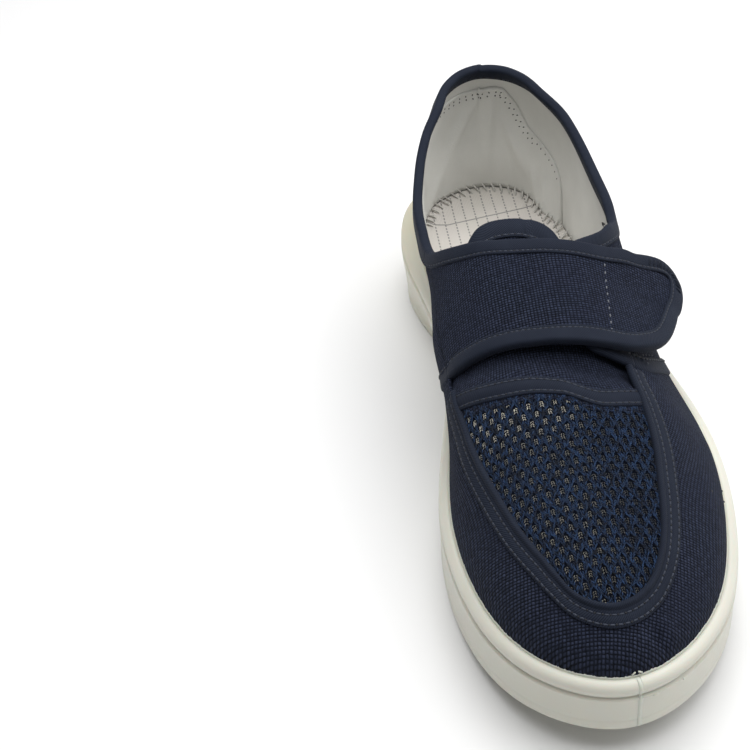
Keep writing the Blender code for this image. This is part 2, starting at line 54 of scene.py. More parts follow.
# Driving sizes
RIM = 4.2              # sole rim standing out past the upper
WALL = 2.0             # canvas with its lining
CANVAS = 1.0           # canvas alone
INSOLE = 3.0
STRAP_WALL = 2.2
TAB_CLOTH = 1.1        # closure tab, thin at its bound edge
TONGUE_TAPE = 7.0
GROOVE_WIDTH = 4.0
GROOVE_DEPTH = 2.5
GROOVE_INSET = 9.0

# Outer line of the sole: place, station, across
OUTLINE = [
    ("heel_back", 0, 2), ("heel_corner_lateral", 14, 25.5), ("heel_side_lateral", 48, 36.5),
    ("waist_lateral", 115, 42.5), ("ball_lateral", 180, 53), ("toe_side_lateral", 228, 47),
    ("toe_corner_lateral", 265, 29.5), ("toe_tip", 285, -6), ("toe_corner_medial", 271, -31.5),
    ("toe_side_medial", 241, -45.5), ("ball_medial", 200, -48.5), ("waist_medial", 125, -35.5),
    ("heel_side_medial", 48, -39), ("heel_corner_medial", 14, -28),
]

SPAN_STEPS = 200       # points from each place of the outer line to the next

# Sole heights: station, underside, rim, cup floor
SOLE = np.array([
    (0, 1.5, 37.5, 23.0), (14, 0, 36.8, 23.0), (48, 0, 34.5, 22.5), (88, 0, 31.2, 20.0),
    (122, 3.0, 29.0, 17.0), (158, 0, 28.0, 14.5), (208, 0, 27.2, 13.0), (240, 3.2, 27.6, 14.5),
    (265, 7.5, 29.8, 18.0), (285, 11.5, 32.6, 22.0),
], float)

# Where the section through a station of the feather line reaches the ridge: station, ridge station
RAYS = np.array([
    (4.2, 48), (60, 66), (120, 120), (150, 149.5), (180, 178), (215, 204), (255, 225), (280.8, 232),
], float)

# Ridge of the last: ridge station, across, height, fullness lateral, fullness medial
RIDGE = np.array([
    (48, 1, 109, 3.1, 3.3), (58, 1, 107, 3.2, 3.3), (70, 1, 104.5, 3.4, 4.2), (90, 0, 100, 3.8, 5.5),
    (110, -1, 94, 2.9, 5.8), (132, -2, 86.5, 2.0, 5.0), (150, -3, 80.5, 1.2, 4.0),
    (165, -3.5, 75.5, 1.1, 3.3), (180, -4, 70.5, 1.2, 2.7), (190, -4, 66.5, 1.5, 2.4),
    (210, -4.5, 60.8, 1.8, 2.0), (232, -5, 56, 1.8, 1.8),
], float)

# Upper's top edge: station, rise above the feather line lateral, medial
TOP_EDGE = np.array([
    (4.2, 53.4, 53.4), (18, 53.4, 52.4), (44, 48.3, 47.3), (80, 43.2, 41.2), (108, 43.2, 41.2),
    (122, 43.1, 41), (136, 42.8, 39.5), (150, 43.2, 36.5), (166, 44.2, 31), (182, 43, 26.2),
    (200, 39.5, 25.1), (219, 36, 25.5), (236, 33, 25.9), (248, 30.2, 26), (258, 27, 25.7),
    (268, 23.3, 23.9), (276, 20.2, 20.6), (280.8, 19.2, 19.2),
], float)

# Swell of the heel: station, outward
HEEL_SWELL = np.array([(4.2, 3.0), (25, 2.4), (60, 1.0), (100, 0.0), (280.8, 0.0)], float)

# Lean of the heel toward its collar: station, inward at the height of the ridge
HEEL_PINCH = np.array([
    (4.2, 3.0), (12, 9.0), (25, 14.5), (45, 5.5), (80, 0.0), (280.8, 0.0),
], float)

# Swell of the medial quarter over the sole's waist: station, outward
WAIST_SWELL = np.array([
    (4.2, 0), (30, -3), (60, 0.5), (90, 6.5), (115, 8), (145, 8), (170, 3), (195, 0), (280.8, 0),
], float)

PINCH_POWER = 3        # the heel's lean grows with this power of the height
WAIST_POWER = 1.2      # moves the waist's swell a little up the wall

# Back edge of the mesh plug: reach from the ridge, ridge station
THROAT = np.array([
    (-42, 177.5), (-24, 183.5), (-10, 186.5), (0, 189.5), (12, 193), (21, 191.5), (36, 187.5),
], float)

# Strap, from its root on the medial quarter to its free end: part of the way, front edge, rear edge
STRAP = np.array([
    (0, 167.5, 114), (0.1, 169.3, 122), (0.2, 170.8, 128.5), (0.3, 172.3, 132.5), (0.42, 174.2, 135),
    (0.55, 175.5, 137), (0.66, 175.2, 136), (0.76, 172.8, 133), (0.85, 167.5, 130.2), (0.92, 157.5, 126.8),
    (1, 145.5, 122),
], float)
STRAP_TIP = 54.5       # reach of the free end

# Height of the strap's underside above the upper's outer face: reach, height
STRAP_LIFT = np.array([
    (-60, -2), (-30, -2), (0, 0.8), (10, 2.0), (24, 3.0), (36, 5.5), (48, 10.0), (62, 17.0),
], float)

# Closure tab, from its root on the lateral quarter toward the ridge: part of the way, front, rear
TAB = np.array([
    (0, 177.8, 112), (0.06, 177.7, 113.5), (0.18, 177.3, 117), (0.33, 176.8, 123.5), (0.5, 176.3, 128),
    (0.72, 175.8, 132), (1, 173, 136),
], float)
TAB_TIP = 9.0          # reach of its end

# Tongue, from the throat to its top: part of the way, edge lateral, edge medial
TONGUE = np.array([(0, 33, -49), (0.2, 33, -50), (0.5, 27, -42), (0.8, 12, -32), (1, 10, -30)], float)
TONGUE_TOP = 121.5     # ridge station of its top
TONGUE_LAP = 5.0       # how far it goes ahead under the plug
TONGUE_DIVE = 3.6      # how deep it dives under the strap
EDGE_DIVE = 2.1        # and at its medial edge, which keeps to the wall
DIVE_RUN = (1.0, 11.0)       # distances behind the throat over which it dives
EDGE_RUN = (-34.0, -42.0)    # reaches over which the depth changes to that of the edge

# Tread: first and last station of each field of cross grooves, count
TREAD = [("heel", 22, 74, 5), ("forefoot", 164, 244, 7)]


def smooth(table, column, at):
    """Value of one column at the given stations, on a curve that never overshoots its rows."""
    x = table[:, 0]
    y = table[:, column]
    step = np.diff(x)
    rise = np.diff(y) / step
    slope = np.zeros(len(x))
    slope[0] = rise[0]
    slope[-1] = rise[-1]
    for i in range(1, len(x) - 1):
        if rise[i - 1] * rise[i] > 0:
            before = 2 * step[i] + step[i - 1]
            after = step[i] + 2 * step[i - 1]
            slope[i] = (before + after) / (before / rise[i - 1] + after / rise[i])
    at = np.clip(at, x[0], x[-1])
    k = np.clip(np.searchsorted(x, at, side="right") - 1, 0, len(x) - 2)
    t = (at - x[k]) / step[k]
    start = (1 + 2 * t) * (1 - t) ** 2 * y[k] + t * (1 - t) ** 2 * step[k] * slope[k]
    end = t * t * (3 - 2 * t) * y[k + 1] + t * t * (t - 1) * step[k] * slope[k + 1]
    return start + end


def fade(low, high, at):
    """0 below low, 1 above high, smooth between."""
    t = np.clip((at - low) / (high - low), 0, 1)
    return t * t * (3 - 2 * t)


def unit(vectors):
    """The same directions with length one."""
    return vectors / np.linalg.norm(vectors, axis=-1, keepdims=True)


def run_along(path):
    """Length along a line of points, from 0 at its start."""
    return np.concatenate([[0], np.cumsum(np.linalg.norm(np.diff(path, axis=0), axis=1))])


def at_run(at, run, rows):
    """Rows that belong to a line, at lengths along it."""
    return np.stack([np.interp(at, run, column) for column in rows.T], axis=-1)


def joined(rows):
    """Rows of like arrays joined into one row."""
    return [np.concatenate(parts) for parts in zip(*rows)]


def upright(count):
    """Normals straight up."""
    return np.tile([0.0, 0.0, 1.0], (count, 1))


def closed_spline(points, per_span):
    """Points along the smooth closed curve through the given ones."""
    points = np.array(points, float)
    count = len(points)
    ahead = np.roll(points, -1, axis=0)
    chord = np.linalg.norm(ahead - points, axis=1)
    system = np.zeros((count, count))
    right = np.zeros((count, 2))
    for i in range(count):
        system[i, i - 1] += chord[i - 1]
        system[i, i] += 2 * (chord[i - 1] + chord[i])
        system[i, (i + 1) % count] += chord[i]
        right[i] = 6 * ((ahead[i] - points[i]) / chord[i] - (points[i] - points[i - 1]) / chord[i - 1])
    bend = np.linalg.solve(system, right)
    spans = []
    t = np.linspace(0, 1, per_span, endpoint=False)[:, None]
    for i in range(count):
        near, far = bend[i], bend[(i + 1) % count]
        curve = (1 - t) * points[i] + t * ahead[i]
        curve = curve + chord[i] ** 2 / 6 * (((1 - t) ** 3 - (1 - t)) * near + (t ** 3 - t) * far)
        spans.append(curve)
    return np.vstack(spans)


def walk_outline():
    """Outer line as u, across, station and outward direction.

    u is even along the lateral feather line; 1 - u is the medial place of the same station.
    """
    line = closed_spline([row[1:] for row in OUTLINE], SPAN_STEPS)
    line = np.roll(line, -int(np.argmin(line[:, 0])), axis=0)
    line = np.vstack([line, line[:1]])
    along = np.roll(line[:-1], -1, axis=0) - np.roll(line[:-1], 1, axis=0)
    along = unit(np.vstack([along, along[:1]]))
    outward = np.stack([-along[:, 1], along[:, 0]], axis=-1)
    feather = line - RIM * outward
    toe = int(np.argmax(feather[:, 0]))
    length = run_along(feather[:toe + 1])
    lateral = 0.5 * length / length[-1]
    medial = 1 - np.interp(feather[toe + 1:, 0], feather[:toe + 1, 0], lateral)
    medial[-1] = 1.0
    return np.concatenate([lateral, medial]), line[:, 1], line[:, 0], outward[:, 1], outward[:, 0]


EDGE_U, EDGE_X, EDGE_S, OUT_X, OUT_S = walk_outline()
MID_X = (EDGE_X.max() + EDGE_X.min()) / 2
MID_S = (EDGE_S.max() + EDGE_S.min()) / 2


def outward_at(u):
    """Plan direction out of the sole's outer line: across, station."""
    u = np.mod(u, 1.0)
    return np.interp(u, EDGE_U, OUT_X), np.interp(u, EDGE_U, OUT_S)


def edge(u, out):
    """Across and station of the sole's outer line, moved outward."""
    out_x, out_s = outward_at(u)
    u = np.mod(u, 1.0)
    return np.interp(u, EDGE_U, EDGE_X) + out * out_x, np.interp(u, EDGE_U, EDGE_S) + out * out_s


def skin(u, v):
    """Point of the upper's outer face; v runs from 0 at the feather line to 1 at the ridge."""
    x, s = edge(u, -RIM)
    low = smooth(SOLE, 2, s)
    ridge = smooth(RAYS, 1, s)
    top = smooth(RIDGE, 2, ridge)
    slope = (smooth(RIDGE, 2, ridge + 1) - smooth(RIDGE, 2, ridge - 1)) / 2
    lateral = np.mod(u, 1.0) <= 0.5
    fullness = np.where(lateral, smooth(RIDGE, 3, ridge), smooth(RIDGE, 4, ridge))
    turn = np.clip(v, 0, 1) * np.pi / 2
    inward = 1 - np.cos(turn) ** (2 / np.maximum(fullness, 2))
    upward = np.sin(turn) ** (2 / fullness)
    tilt = slope * (s - ridge)
    swell = smooth(HEEL_SWELL, 1, s) * np.sin(np.pi * upward) ** 2
    swell = swell - smooth(HEEL_PINCH, 1, s) * upward ** PINCH_POWER
    waist = np.sin(np.pi * upward ** WAIST_POWER) ** 2
    swell = swell + np.where(lateral, 0, smooth(WAIST_SWELL, 1, s) * waist)
    out_x, out_s = outward_at(u)
    return np.stack([
        x + (smooth(RIDGE, 1, ridge) - x) * inward + swell * out_x,
        s + (ridge - s) * inward + swell * out_s,
        low + (top - low) * upward + tilt * inward * (1 - inward),
    ], axis=-1)


# Each section line measured along itself, so that places on the upper are given in millimetres
GRID_U = np.linspace(0, 1, 721)
GRID_PART = np.linspace(0, 1, 161)


def measure_sections():
    """Length of each section, and its v at even parts of the length."""
    v = np.linspace(0, 1, 801)
    lengths = []
    even_v = []
    for u in GRID_U:
        points = skin(np.full_like(v, u), v)
        run = run_along(points)
        lengths.append(run[-1])
        even_v.append(np.interp(GRID_PART * run[-1], run, v))
    return np.array(lengths), np.array(even_v)


SECTION_LENGTH, SECTION_V = measure_sections()


def section_length(u):
    """Length of the section from the feather line to the ridge."""
    return np.interp(np.mod(u, 1.0), GRID_U, SECTION_LENGTH)


def top_rise(u):
    """Rise of the upper's top edge above the feather line, along the section."""
    station = edge(u, -RIM)[1]
    lateral = np.mod(u, 1.0) <= 0.5
    return np.where(lateral, smooth(TOP_EDGE, 1, station), smooth(TOP_EDGE, 2, station))


def v_at(u, rise):
    """Section parameter at a rise in millimetres."""
    u = np.mod(u, 1.0)
    part = np.clip(rise / section_length(u), 0, 1) * (len(GRID_PART) - 1)
    i = np.clip((u * (len(GRID_U) - 1)).astype(int), 0, len(GRID_U) - 2)
    k = np.clip(part.astype(int), 0, len(GRID_PART) - 2)
    du = u * (len(GRID_U) - 1) - i
    dk = part - k
    near = SECTION_V[i, k] * (1 - dk) + SECTION_V[i, k + 1] * dk
    far = SECTION_V[i + 1, k] * (1 - dk) + SECTION_V[i + 1, k + 1] * dk
    return near * (1 - du) + far * du


def base(u, rise):
    """Point at a rise above the feather line; below it the wall goes straight down."""
    point = skin(u, v_at(u, np.maximum(rise, 0)))
    point[..., 2] += np.minimum(rise, 0)
    return point


# Steps over which the wall's direction is measured, and how far below the ridge they stay
STEP_U = 0.0015
STEP_RISE = 1.0
RIDGE_MARGIN = 1.2


def place(u, rise, out):
    """Point standing off the upper's outer face by out."""
    u, rise, out = [np.asarray(value, float) for value in np.broadcast_arrays(u, rise, out)]
    lower = np.clip(rise - STEP_RISE / 2, None, section_length(u) - RIDGE_MARGIN)
    middle = lower + STEP_RISE / 2
    round_step = base(u + STEP_U, middle) - base(u - STEP_U, middle)
    up_step = base(u, lower + STEP_RISE) - base(u, lower)
    return base(u, rise) + out[..., None] * unit(np.cross(round_step, up_step))


# Ridge stations against u, to look places up from the ridge
HALF_U = np.linspace(0, 0.5, 1201)
RIDGE_AT = smooth(RAYS, 1, edge(HALF_U, -RIM)[1])


def side_u(ridge, reach):
    """u of the section that meets the ridge at a station, on the side the reach points to."""
    lateral = np.interp(ridge, RIDGE_AT, HALF_U)
    return np.where(np.asarray(reach) >= 0, lateral, 1 - lateral)


def instep(ridge, reach, out):
    """Point given by its ridge station and its reach down from the ridge, lateral positive."""
    ridge, reach = np.broadcast_arrays(np.asarray(ridge, float), np.asarray(reach, float))
    u = side_u(ridge, reach)
    return place(u, section_length(u) - np.abs(reach), out)


def edge_reach(ridge, side):
    """Reach of the upper's top edge at a ridge station; side is 1 lateral, -1 medial."""
    u = side_u(ridge, side)
    return side * (section_length(u) - top_rise(u))


# Flaps in the plane of ridge station and reach
def rounded_run(count, start, round_count, power):
    """Parts of the way along a flap and its width there; the end is rounded past start."""
    turn = np.linspace(0, np.pi / 2, round_count + 1)[1:]
    body = np.linspace(0, start, count)
    along = np.concatenate([body, start + (1 - start) * np.sin(turn) ** (2 / power)])
    width = np.concatenate([np.ones(count), np.cos(turn) ** (2 / power)])
    width[-1] = 0.0
    return along, width


def flap_plane(table, tip, side):
    """Function that gives the ridge station and reach of a place on a quarter's flap.

    along runs from its root on the quarter to its end; across is -1 at the front and 1 at the rear.
    """
    def plane(along, across):
        front = smooth(table, 1, along)
        rear = smooth(table, 2, along)
        ridge = (front + rear) / 2 + across * (rear - front) / 2
        root = edge_reach(ridge, side)
        return ridge, root + along * (tip - root)

    return plane


strap_plane = flap_plane(STRAP, STRAP_TIP, -1)
tab_plane = flap_plane(TAB, TAB_TIP, 1)


def tongue_plane(along, across):
    """Ridge station and reach of a place on the tongue; across is -1 medial and 1 lateral."""
    lateral = smooth(TONGUE, 1, along)
    medial = smooth(TONGUE, 2, along)
    reach = (lateral + medial) / 2 + across * (lateral - medial) / 2
    first = smooth(THROAT, 1, reach) + TONGUE_LAP
    return first + along * (TONGUE_TOP - first), reach


def strap_lift(ridge, reach):
    """Height of the strap's underside above the upper's outer face."""
    return smooth(STRAP_LIFT, 1, reach)


def tab_lift(ridge, reach):
    """The tab takes the canvas's own place in the wall."""
    return np.full(np.shape(reach), -TAB_CLOTH)


def tongue_lift(ridge, reach):
    """The tongue leaves the throat level with the plug and dives under the strap."""
    behind = smooth(THROAT, 1, reach) - ridge
    dive = TONGUE_DIVE + (EDGE_DIVE - TONGUE_DIVE) * fade(*EDGE_RUN, reach)
    return -WALL - dive * fade(*DIVE_RUN, behind)


# Meshes
SAME_PLACE = 1e-6      # metres


def to_metres(points):
    """Blender coordinates: the toe toward -Y, the middle of the sole's outer line on the axis."""
    points = np.asarray(points, float)
    return np.stack([points[..., 0] - MID_X, MID_S - points[..., 1], points[..., 2]], axis=-1) * MM


def grid_faces(rows, columns, start=0, wrap_rows=False, wrap_columns=False):
    """Faces between neighbouring places of a grid of vertices."""
    i = np.arange(rows if wrap_rows else rows - 1)
    k = np.arange(columns if wrap_columns else columns - 1)
    i, k = np.meshgrid(i, k, indexing="ij")
    j = (i + 1) % rows
    m = (k + 1) % columns
    corners = [i * columns + k, j * columns + k, j * columns + m, i * columns + m]
    return start + np.stack(corners, axis=-1).reshape(-1, 4)


def cross_corners(count):
    """Rows at the corners of the faces that close a ring straight across, side to side."""
    for i in range(count // 2):
        yield list(dict.fromkeys([i, i + 1, (count - i - 1) % count, (count - i) % count]))


def link(name, data):
    """A new object in the scene."""
    thing = bpy.data.objects.new(name, data)
    bpy.context.scene.collection.objects.link(thing)
    return thing


def add_piece(name, points, faces, material, cloth=None, shade=None, stands_for=()):
    """One mesh that rides on the shoe; cloth holds weave coordinates, shade a brightness."""
    mesh = bpy.data.meshes.new(name)
    mesh.from_pydata(to_metres(points).reshape(-1, 3).tolist(), [], [list(face) for face in faces])
    if cloth is not None:
        spread = np.zeros((len(mesh.vertices), 3))
        spread[:, :2] = np.asarray(cloth).reshape(-1, 2)
        mesh.attributes.new("cloth", "FLOAT_VECTOR", "POINT").data.foreach_set("vector", spread.ravel())
    if shade is not None:
        mesh.attributes.new("shade", "FLOAT", "POINT").data.foreach_set("value", np.ravel(shade))
    work = bmesh.new()
    work.from_mesh(mesh)
    bmesh.ops.remove_doubles(work, verts=work.verts, dist=SAME_PLACE)
    bmesh.ops.dissolve_degenerate(work, edges=work.edges, dist=SAME_PLACE)
    bmesh.ops.recalc_face_normals(work, faces=work.faces)
    work.to_mesh(mesh)
    work.free()
    mesh.shade_smooth()
    mesh.materials.append(material)
    thing = link(name, mesh)
    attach(thing, "root")
    if stands_for:
        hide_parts(*stands_for)


def sheet(name, outer, inner, cloth, material, wrap=False, stands_for=()):
    """Closed wall between an outer and an inner grid."""
    rows, columns = outer.shape[:2]
    count = rows * columns
    faces = [grid_faces(rows, columns, 0, wrap), grid_faces(rows, columns, count, wrap)[:, ::-1]]
    i = np.arange(rows if wrap else rows - 1)
    for k in (0, columns - 1):
        near = i * columns + k
        far = (i + 1) % rows * columns + k
        faces.append(np.stack([near, far, far + count, near + count], axis=-1))
    if not wrap:
        for row in (0, rows - 1):
            near = row * columns + np.arange(columns - 1)
            faces.append(np.stack([near, near + 1, near + 1 + count, near + count], axis=-1))
    points = np.concatenate([outer.reshape(-1, 3), inner.reshape(-1, 3)])
    cloth = np.concatenate([cloth.reshape(-1, 2)] * 2)
    add_piece(name, points, np.concatenate(faces), material, cloth, None, stands_for)


def band(name, rings, material, stands_for=()):
    """Closed bar through rings of one section; its weave runs along it."""
    rows, columns = rings.shape[:2]
    along = run_along(rings.mean(1))[:, None]
    across = run_along(rings[rows // 2])
    cloth = np.stack(np.broadcast_arrays(along, across), axis=-1)
    faces = grid_faces(rows, columns, wrap_columns=True).tolist()
    faces.append(list(range(columns)))
    faces.append(list(range((rows - 1) * columns, rows * columns)))
    add_piece(name, rings, faces, material, cloth, None, stands_for)


def ribbon(path, normals, section):
    """Rings of a section (across, above) carried along a path on a surface."""
    side = unit(np.cross(normals, np.gradient(path, axis=0)))
    rings = [path + across * side + above * normals for across, above in section]
    return np.stack(rings, axis=1)


# Stitches and yarns from end to end: part of the half length, size, drop
STITCH = [(-1, 0.45, 0.22), (-0.7, 0.9, 0.05), (0, 1.0, 0.0), (0.7, 0.9, 0.05), (1, 0.45, 0.22)]
THREAD_BAR = [(-1, 0.55, 0.1), (0, 1.0, 0.0), (1, 0.55, 0.1)]
STITCH_DRIFT = 0.04    # unevenness of stitches along their row, as part of the pitch
STITCH_SWAY = 0.06     # and of their ends sideways
SEAM_STITCH = (0.62, 0.5)    # width and height
# size of the dark rods that paint the shade in the needle holes
NEEDLE_HOLE_SHADE = (0.75, 0.5)


def add_rods(name, bars, size, material, shape=STITCH, sides=6, shades=None, stands_for=()):
    """Bars as one piece: bars holds starts, ends and normals, size width and height, shades one for each."""
    starts, ends, normals = bars
    middle = (starts + ends) / 2
    half = (ends - starts) / 2
    side = unit(np.cross(normals, half))
    turn = np.arange(sides) * 2 * np.pi / sides
    rings = []
    for along, swell, drop in shape:
        spread = side[:, None] * (size[0] / 2 * swell * np.cos(turn))[None, :, None]
        lift = normals[:, None] * (size[1] / 2 * swell * np.sin(turn) - drop)[None, :, None]
        rings.append((middle + along * half)[:, None] + spread + lift)
    count = len(shape) * sides
    side_faces = grid_faces(len(shape), sides, wrap_columns=True)
    offsets = np.arange(len(starts)) * count
    faces = (offsets[:, None, None] + side_faces[None]).reshape(-1, 4).tolist()
    for first in (0, count - sides):
        faces += (offsets[:, None] + first + np.arange(sides)[None]).tolist()
    shade = None if shades is None else np.repeat(shades, count)
    add_piece(name, np.stack(rings, axis=1), faces, material, shade=shade, stands_for=stands_for)


def row_of(low, high):
    """Path and unit normals from two copies of a line, the second one standing off the first."""
    return low, unit(high - low)


def stitch_row(path, normals, pitch, share=0.74):
    """Starts, ends and normals of stitches along a path, each as long as a share of the pitch."""
    run = run_along(path)
    count = max(int(run[-1] / pitch), 1)
    middle = (np.arange(count) + 0.5) * run[-1] / count + random.normal(0, STITCH_DRIFT * pitch, count)
    starts, ends = [at_run(middle + way * share * pitch / 2, run, path) for way in (-1, 1)]
    away = at_run(middle, run, normals)
    side = unit(np.cross(away, ends - starts)) * random.normal(0, STITCH_SWAY, count)[:, None]
    return starts - side, ends + side, away


def add_tape_seam(name, rows):
    """Stitches of a seam on a tape, and dark rods between them that paint the shade of the needle holes."""
    add_rods(name, joined(rows), SEAM_STITCH, THREAD)
    holes = [(ends[:-1], starts[1:], normals[1:]) for starts, ends, normals in rows]
    # painted shade: dark rods where the thread dives into its needle holes
    add_rods(f"{name}_holes", joined(holes), NEEDLE_HOLE_SHADE, DARK_THREAD_AND_SHADE)


def add_tape(name, seam, line, section, stitches, pitch, node):
    """Tape with its rows of stitches; line gives points at a distance inside and a height above."""
    rings = [line(inside, above) for inside, above in section]
    band(name, np.stack(rings, axis=1), TAPE_CLOTH, stands_for=[node])
    rows = []
    for inside, above in stitches:
        path = row_of(line(inside, above), line(inside, above + 1))
        rows.append(stitch_row(*path, pitch))
    add_tape_seam(seam, rows)


# Materials
class Finish:
    """One node material, built step by step."""

    def __init__(self, name, constants):
        self.material = bpy.data.materials.new(name)
        self.material.use_nodes = True
        self.nodes = self.material.node_tree.nodes
        self.links = self.material.node_tree.links
        self.shader = self.nodes["Principled BSDF"]
        for socket, value in constants.items():
            self.shader.inputs[socket].default_value = value

    def put(self, value, socket):
        """A linked output, a number or a colour into a socket."""
        if isinstance(value, bpy.types.NodeSocket):
            self.links.new(value, socket)
        elif isinstance(value, tuple):
            socket.default_value = (*value, 1.0)
        else:
            socket.default_value = value

    def math(self, operation, first, second=0.0):
        """One operation on two values."""
        node = self.nodes.new("ShaderNodeMath")
        node.operation = operation
        self.put(first, node.inputs[0])
        self.put(second, node.inputs[1])
        return node.outputs[0]

    def times(self, first, second):
        return self.math("MULTIPLY", first, second)

    def plus(self, first, second):
        return self.math("ADD", first, second)

    def mix(self, factor, first, second):
        """Colour between two, by a factor."""
        node = self.nodes.new("ShaderNodeMix")
        node.data_type = "RGBA"
        self.put(factor, node.inputs[0])
        self.put(first, node.inputs[6])
        self.put(second, node.inputs[7])
        return node.outputs[2]

    def between(self, value, low, high, first=0.0, last=1.0):
        """Smooth step of a value from one range to another."""
        node = self.nodes.new("ShaderNodeMapRange")
        node.interpolation_type = "SMOOTHSTEP"
        self.put(value, node.inputs["Value"])
        for socket, number in zip(("From Min", "From Max", "To Min", "To Max"), (low, high, first, last)):
            node.inputs[socket].default_value = number
        return node.outputs["Result"]

    def attribute(self, name):
        """Node that reads a value stored with the mesh."""
        node = self.nodes.new("ShaderNodeAttribute")
        node.attribute_name = name
        return node

    def position(self):
        """Place on the shoe, in metres."""
        return self.nodes.new("ShaderNodeTexCoord").outputs["Object"]

    def split(self, vector):
        """The three parts of a vector."""
        node = self.nodes.new("ShaderNodeSeparateXYZ")
        self.links.new(vector, node.inputs[0])
        return node.outputs

    def noise(self, vector, scale, detail=2.0):
        """Cloudy value round a half."""
        node = self.nodes.new("ShaderNodeTexNoise")
        self.links.new(vector, node.inputs["Vector"])
        node.inputs["Scale"].default_value = scale
        node.inputs["Detail"].default_value = detail
        return node.outputs["Fac"]

    def ridge(self, value):
        """Round ridges one unit apart, from 0 between them to 1 on top."""
        return self.math("ABSOLUTE", self.math("SINE", self.times(value, math.pi)))

    def weave(self, pitch, other):
        """Height of a plain weave of threads over and under each other, and a tone for each crossing."""
        vector = self.attribute("cloth").outputs["Vector"]
        wander = self.times(self.noise(vector, 0.35), 0.5)
        first, second = [self.plus(self.math("DIVIDE", part, step), wander)
                         for part, step in zip(self.split(vector), (pitch, other))]
        cell = self.nodes.new("ShaderNodeCombineXYZ")
        for part, socket in zip((first, second), cell.inputs):
            self.put(self.math("FLOOR", part), socket)
        tone = self.nodes.new("ShaderNodeTexWhiteNoise")
        self.links.new(cell.outputs[0], tone.inputs["Vector"])
        over = self.plus(self.math("FLOOR", first), self.math("FLOOR", second))
        over = self.math("FLOORED_MODULO", over, 2.0)
        warp, weft = self.ridge(first), self.ridge(second)
        warp_up = self.times(self.math("POWER", warp, 0.6), weft)
        weft_up = self.times(self.math("POWER", weft, 0.6), warp)
        weft_part = self.times(weft_up, over)
        warp_part = self.times(warp_up, self.math("SUBTRACT", 1.0, over))
        height = self.plus(weft_part, self.times(warp_part, 0.8))
        return height, tone.outputs["Value"]

    def bump(self, height, depth, after=None):
        """Normal of a relief; depth is in millimetres."""
        node = self.nodes.new("ShaderNodeBump")
        node.inputs["Distance"].default_value = depth * MM
        self.put(height, node.inputs["Height"])
        if after is not None:
            self.links.new(after, node.inputs["Normal"])
        return node.outputs["Normal"]

    def done(self, colour=None, normal=None, roughness=None):
        """The material, with what was built put into its shader."""
        for value, socket in ((colour, "Base Color"), (normal, "Normal"), (roughness, "Roughness")):
            if value is not None:
                self.put(value, self.shader.inputs[socket])
        return self.material


CANVAS_PITCH = (1.1, 0.9)    # of the warp and the weft
KNIT_PITCH = (0.55, 0.55)
INSOLE_PITCH = (0.7, 0.7)
RIB_PITCH = 0.75       # of the tape's twill
RIB_SLANT = 0.8


def canvas_finish():
    """Navy canvas in a plain weave and a little lint; the thread tops are painted paler as highlights and
    the gaps between them painted dark as shade.
    """
    f = Finish("canvas", {"Roughness": 0.9, "Sheen Weight": 0.03, "Sheen Roughness": 0.5,
                          "Sheen Tint": (0.45, 0.52, 0.75, 1), "Specular IOR Level": 0.12})
    cloth = f.attribute("cloth").outputs["Vector"]
    height, tone = f.weave(*CANVAS_PITCH)
    patch = f.noise(cloth, 0.05, 3.0)
    thread = f.noise(cloth, 1.1, 2.0)
    # painted highlight on the thread tops and painted shade in the gaps, from the weave's height
    lit = f.times(f.between(height, 0.15, 0.8), f.between(tone, 0.0, 1.0, 0.55, 1.3))
    colour = f.mix(lit, (0.002, 0.003, 0.006), (0.035, 0.044, 0.078))
    colour = f.mix(f.between(thread, 0.35, 0.75, 0.0, 0.55), colour, (0.016, 0.021, 0.04))
    colour = f.mix(f.between(patch, 0.35, 0.7, 0.0, 0.25), colour, (0.012, 0.015, 0.03))
    lint = f.between(f.noise(cloth, 0.9, 6.0), 0.735, 0.77)
    colour = f.mix(f.times(lint, 0.5), colour, (0.16, 0.17, 0.2))
    relief = f.plus(height, f.times(thread, 0.5))
    return f.done(colour, f.bump(relief, 0.45))


def tape_finish():
    """Twill binding tape: fine slanting ribs, a little smoother than the canvas."""
    f = Finish("tape", {"Roughness": 0.75, "Sheen Weight": 0.04, "Sheen Roughness": 0.4,
                        "Sheen Tint": (0.6, 0.65, 0.8, 1), "Specular IOR Level": 0.18})
    cloth = f.attribute("cloth").outputs["Vector"]
    along, across = f.split(cloth)[:2]
    slant = f.plus(along, f.times(across, RIB_SLANT))
    rib = f.ridge(f.math("DIVIDE", slant, RIB_PITCH))
    patch = f.noise(cloth, 0.12, 3.0)
    # rib tops painted paler and the hollows between them darker: painted highlight and shade of the twill
    colour = f.mix(rib, (0.005, 0.0078, 0.0155), (0.0138, 0.0188, 0.0345))
    colour = f.mix(f.between(patch, 0.4, 0.7, 0.0, 0.5), colour, (0.0145, 0.02, 0.035))
    relief = f.plus(rib, f.times(f.noise(cloth, 2.0, 2.0), 0.6))
    return f.done(colour, f.bump(relief, 0.12))


def yarn_finish(name, dark, bright, roughness):
    """Thread whose brightness is stored piece by piece."""
    f = Finish(name, {"Roughness": roughness, "Specular IOR Level": 0.3})
    fibre = f.noise(f.position(), 4500.0, 2.0)
    shade = f.times(f.attribute("shade").outputs["Fac"], f.between(fibre, 0.3, 0.7, 0.75, 1.2))
    return f.done(f.mix(shade, dark, bright), f.bump(fibre, 0.06))


def stitch_finish(name, dark, bright):
    """Twisted sewing thread."""
    f = Finish(name, {"Roughness": 0.55, "Specular IOR Level": 0.4})
    fibre = f.noise(f.position(), 2500.0, 2.0)
    return f.done(f.mix(fibre, dark, bright), f.bump(fibre, 0.08))


